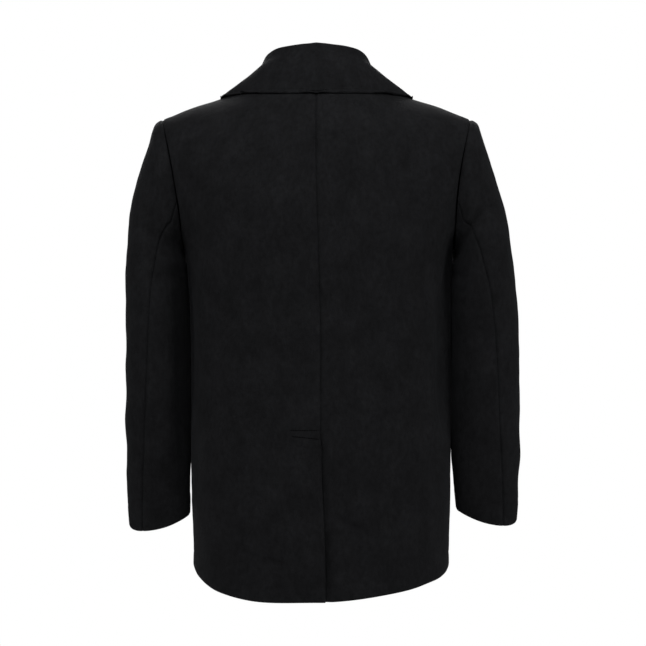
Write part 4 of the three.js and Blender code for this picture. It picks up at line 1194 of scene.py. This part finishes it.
# buttonholes of the column that fastens, bound with thread
buttonholes = []
for row in range(button["rows"]):
    z = button["topZ"] - row * button["pitch"]
    outer = -button["columnX"] - button["holePastButton"]
    inner = outer + button["holeLength"]
    outline = []
    for turn in np.linspace(0, 2 * math.pi, 90):
        x = (inner + outer) / 2 + (inner - outer) / 2 * signedPower(math.cos(turn), 0.35)
        outline.append((float(x), z + button["holeHalfWidth"] * float(signedPower(math.sin(turn), 0.6))))
    buttonholes.append(stitchAlong(f"hole{row}", frontPieces["left"], worldPath(outline, "left"),
                                   (0, 1, 0), pitch=1.1, width=1.0))
buttonholeThread = joinPieces(*buttonholes)
buttonholeThread.name = "buttonholeThread"
print("buttonholes made")


# every piece rides on the coat's one body, and stands for its solid
finishPiece(backLeft, "wool", "back_left")
finishPiece(backRight, "wool", "back_right")
finishPiece(collarCloth, "wool", "collar")
for side in ("left", "right"):
    finishPiece(frontPieces[side], "wool", f"front_{side}")
    finishPiece(lapelPieces[side], "wool", f"lapel_{side}")
    finishPiece(welts[side], "wool", f"pocket_welt_{side}")
    finishPiece(weltStitches[side], "wool")
for node, piece in sleevePieces.items():
    finishPiece(piece, "wool", node)
for index, piece in enumerate(buttons):
    finishPiece(piece, "button", f"button_{index + 1:02d}")
finishPiece(ventStitch, "wool")
finishPiece(buttonholeThread, "wool")

print("pieces placed")


# stage: pale floor, soft light and the photograph's camera
stage = {"floorZ": -1.46, "floorRadius": 2.3, "floorColour": (0.9, 0.9, 0.9), "around": 0.16}
camera = {"place": (-0.010, 2.2, -0.373), "pixels": 1433.5, "frame": 646}

bpy.ops.object.select_all(action="DESELECT")
bpy.ops.mesh.primitive_circle_add(vertices=96, radius=stage["floorRadius"], fill_type="NGON",
                                  location=(0, 0, stage["floorZ"]))
floor = bpy.context.active_object
floor.name = "floor"
floor.data.materials.append(makePlain("paleFloor", stage["floorColour"], roughness=0.9, bumpSize=0.3,
                                      bumpStrength=0, specular=0.1, spread=0.02))

# the backdrop is white, and the light that comes from around is softer than it
world = bpy.data.worlds.new("studio")
world.use_nodes = True
tree = world.node_tree
white = tree.nodes["Background"]
white.inputs["Color"].default_value = (1, 1, 1, 1)
white.inputs["Strength"].default_value = 1.0
around = addNode(tree, "ShaderNodeBackground", Color=(1, 1, 1, 1), Strength=stage["around"])
seen = addNode(tree, "ShaderNodeLightPath")
chosen = addNode(tree, "ShaderNodeMixShader")
tree.links.new(seen.outputs["Is Camera Ray"], chosen.inputs["Fac"])
tree.links.new(around.outputs["Background"], chosen.inputs[1])
tree.links.new(white.outputs["Background"], chosen.inputs[2])
tree.links.new(chosen.outputs["Shader"], tree.nodes["World Output"].inputs["Surface"])
bpy.context.scene.world = world
bpy.context.scene.view_settings.view_transform = "Standard"  # plain tones, so white stays white

softLights = (
    {"place": (0.2, 1.35, 1.1), "size": 1.3, "power": 24},
    {"place": (2.5, 1.2, 0.7), "size": 1.4, "power": 13},
    {"place": (-2.5, 1.2, 0.7), "size": 1.4, "power": 27},
    {"place": (0.2, -2.4, 1.2), "size": 2.2, "power": 95},
)
for number, light in enumerate(softLights):
    data = bpy.data.lights.new(f"softLight{number + 1}", "AREA")
    data.shape = "DISK"
    data.size = light["size"]
    data.energy = light["power"]
    lamp = bpy.data.objects.new(data.name, data)
    lamp.location = light["place"]
    towards = Vector((0, 0, -0.2)) - lamp.location
    lamp.rotation_euler = towards.to_track_quat("-Z", "Y").to_euler()
    bpy.context.scene.collection.objects.link(lamp)

lens = bpy.data.cameras.new("camera")
lens.sensor_width = 36
lens.lens = 36 * camera["pixels"] / camera["frame"]
viewer = bpy.data.objects.new("camera", lens)
viewer.location = camera["place"]
viewer.rotation_euler = (math.pi / 2, 0, math.pi)
bpy.context.scene.collection.objects.link(viewer)
bpy.context.scene.camera = viewer
print("stage made")
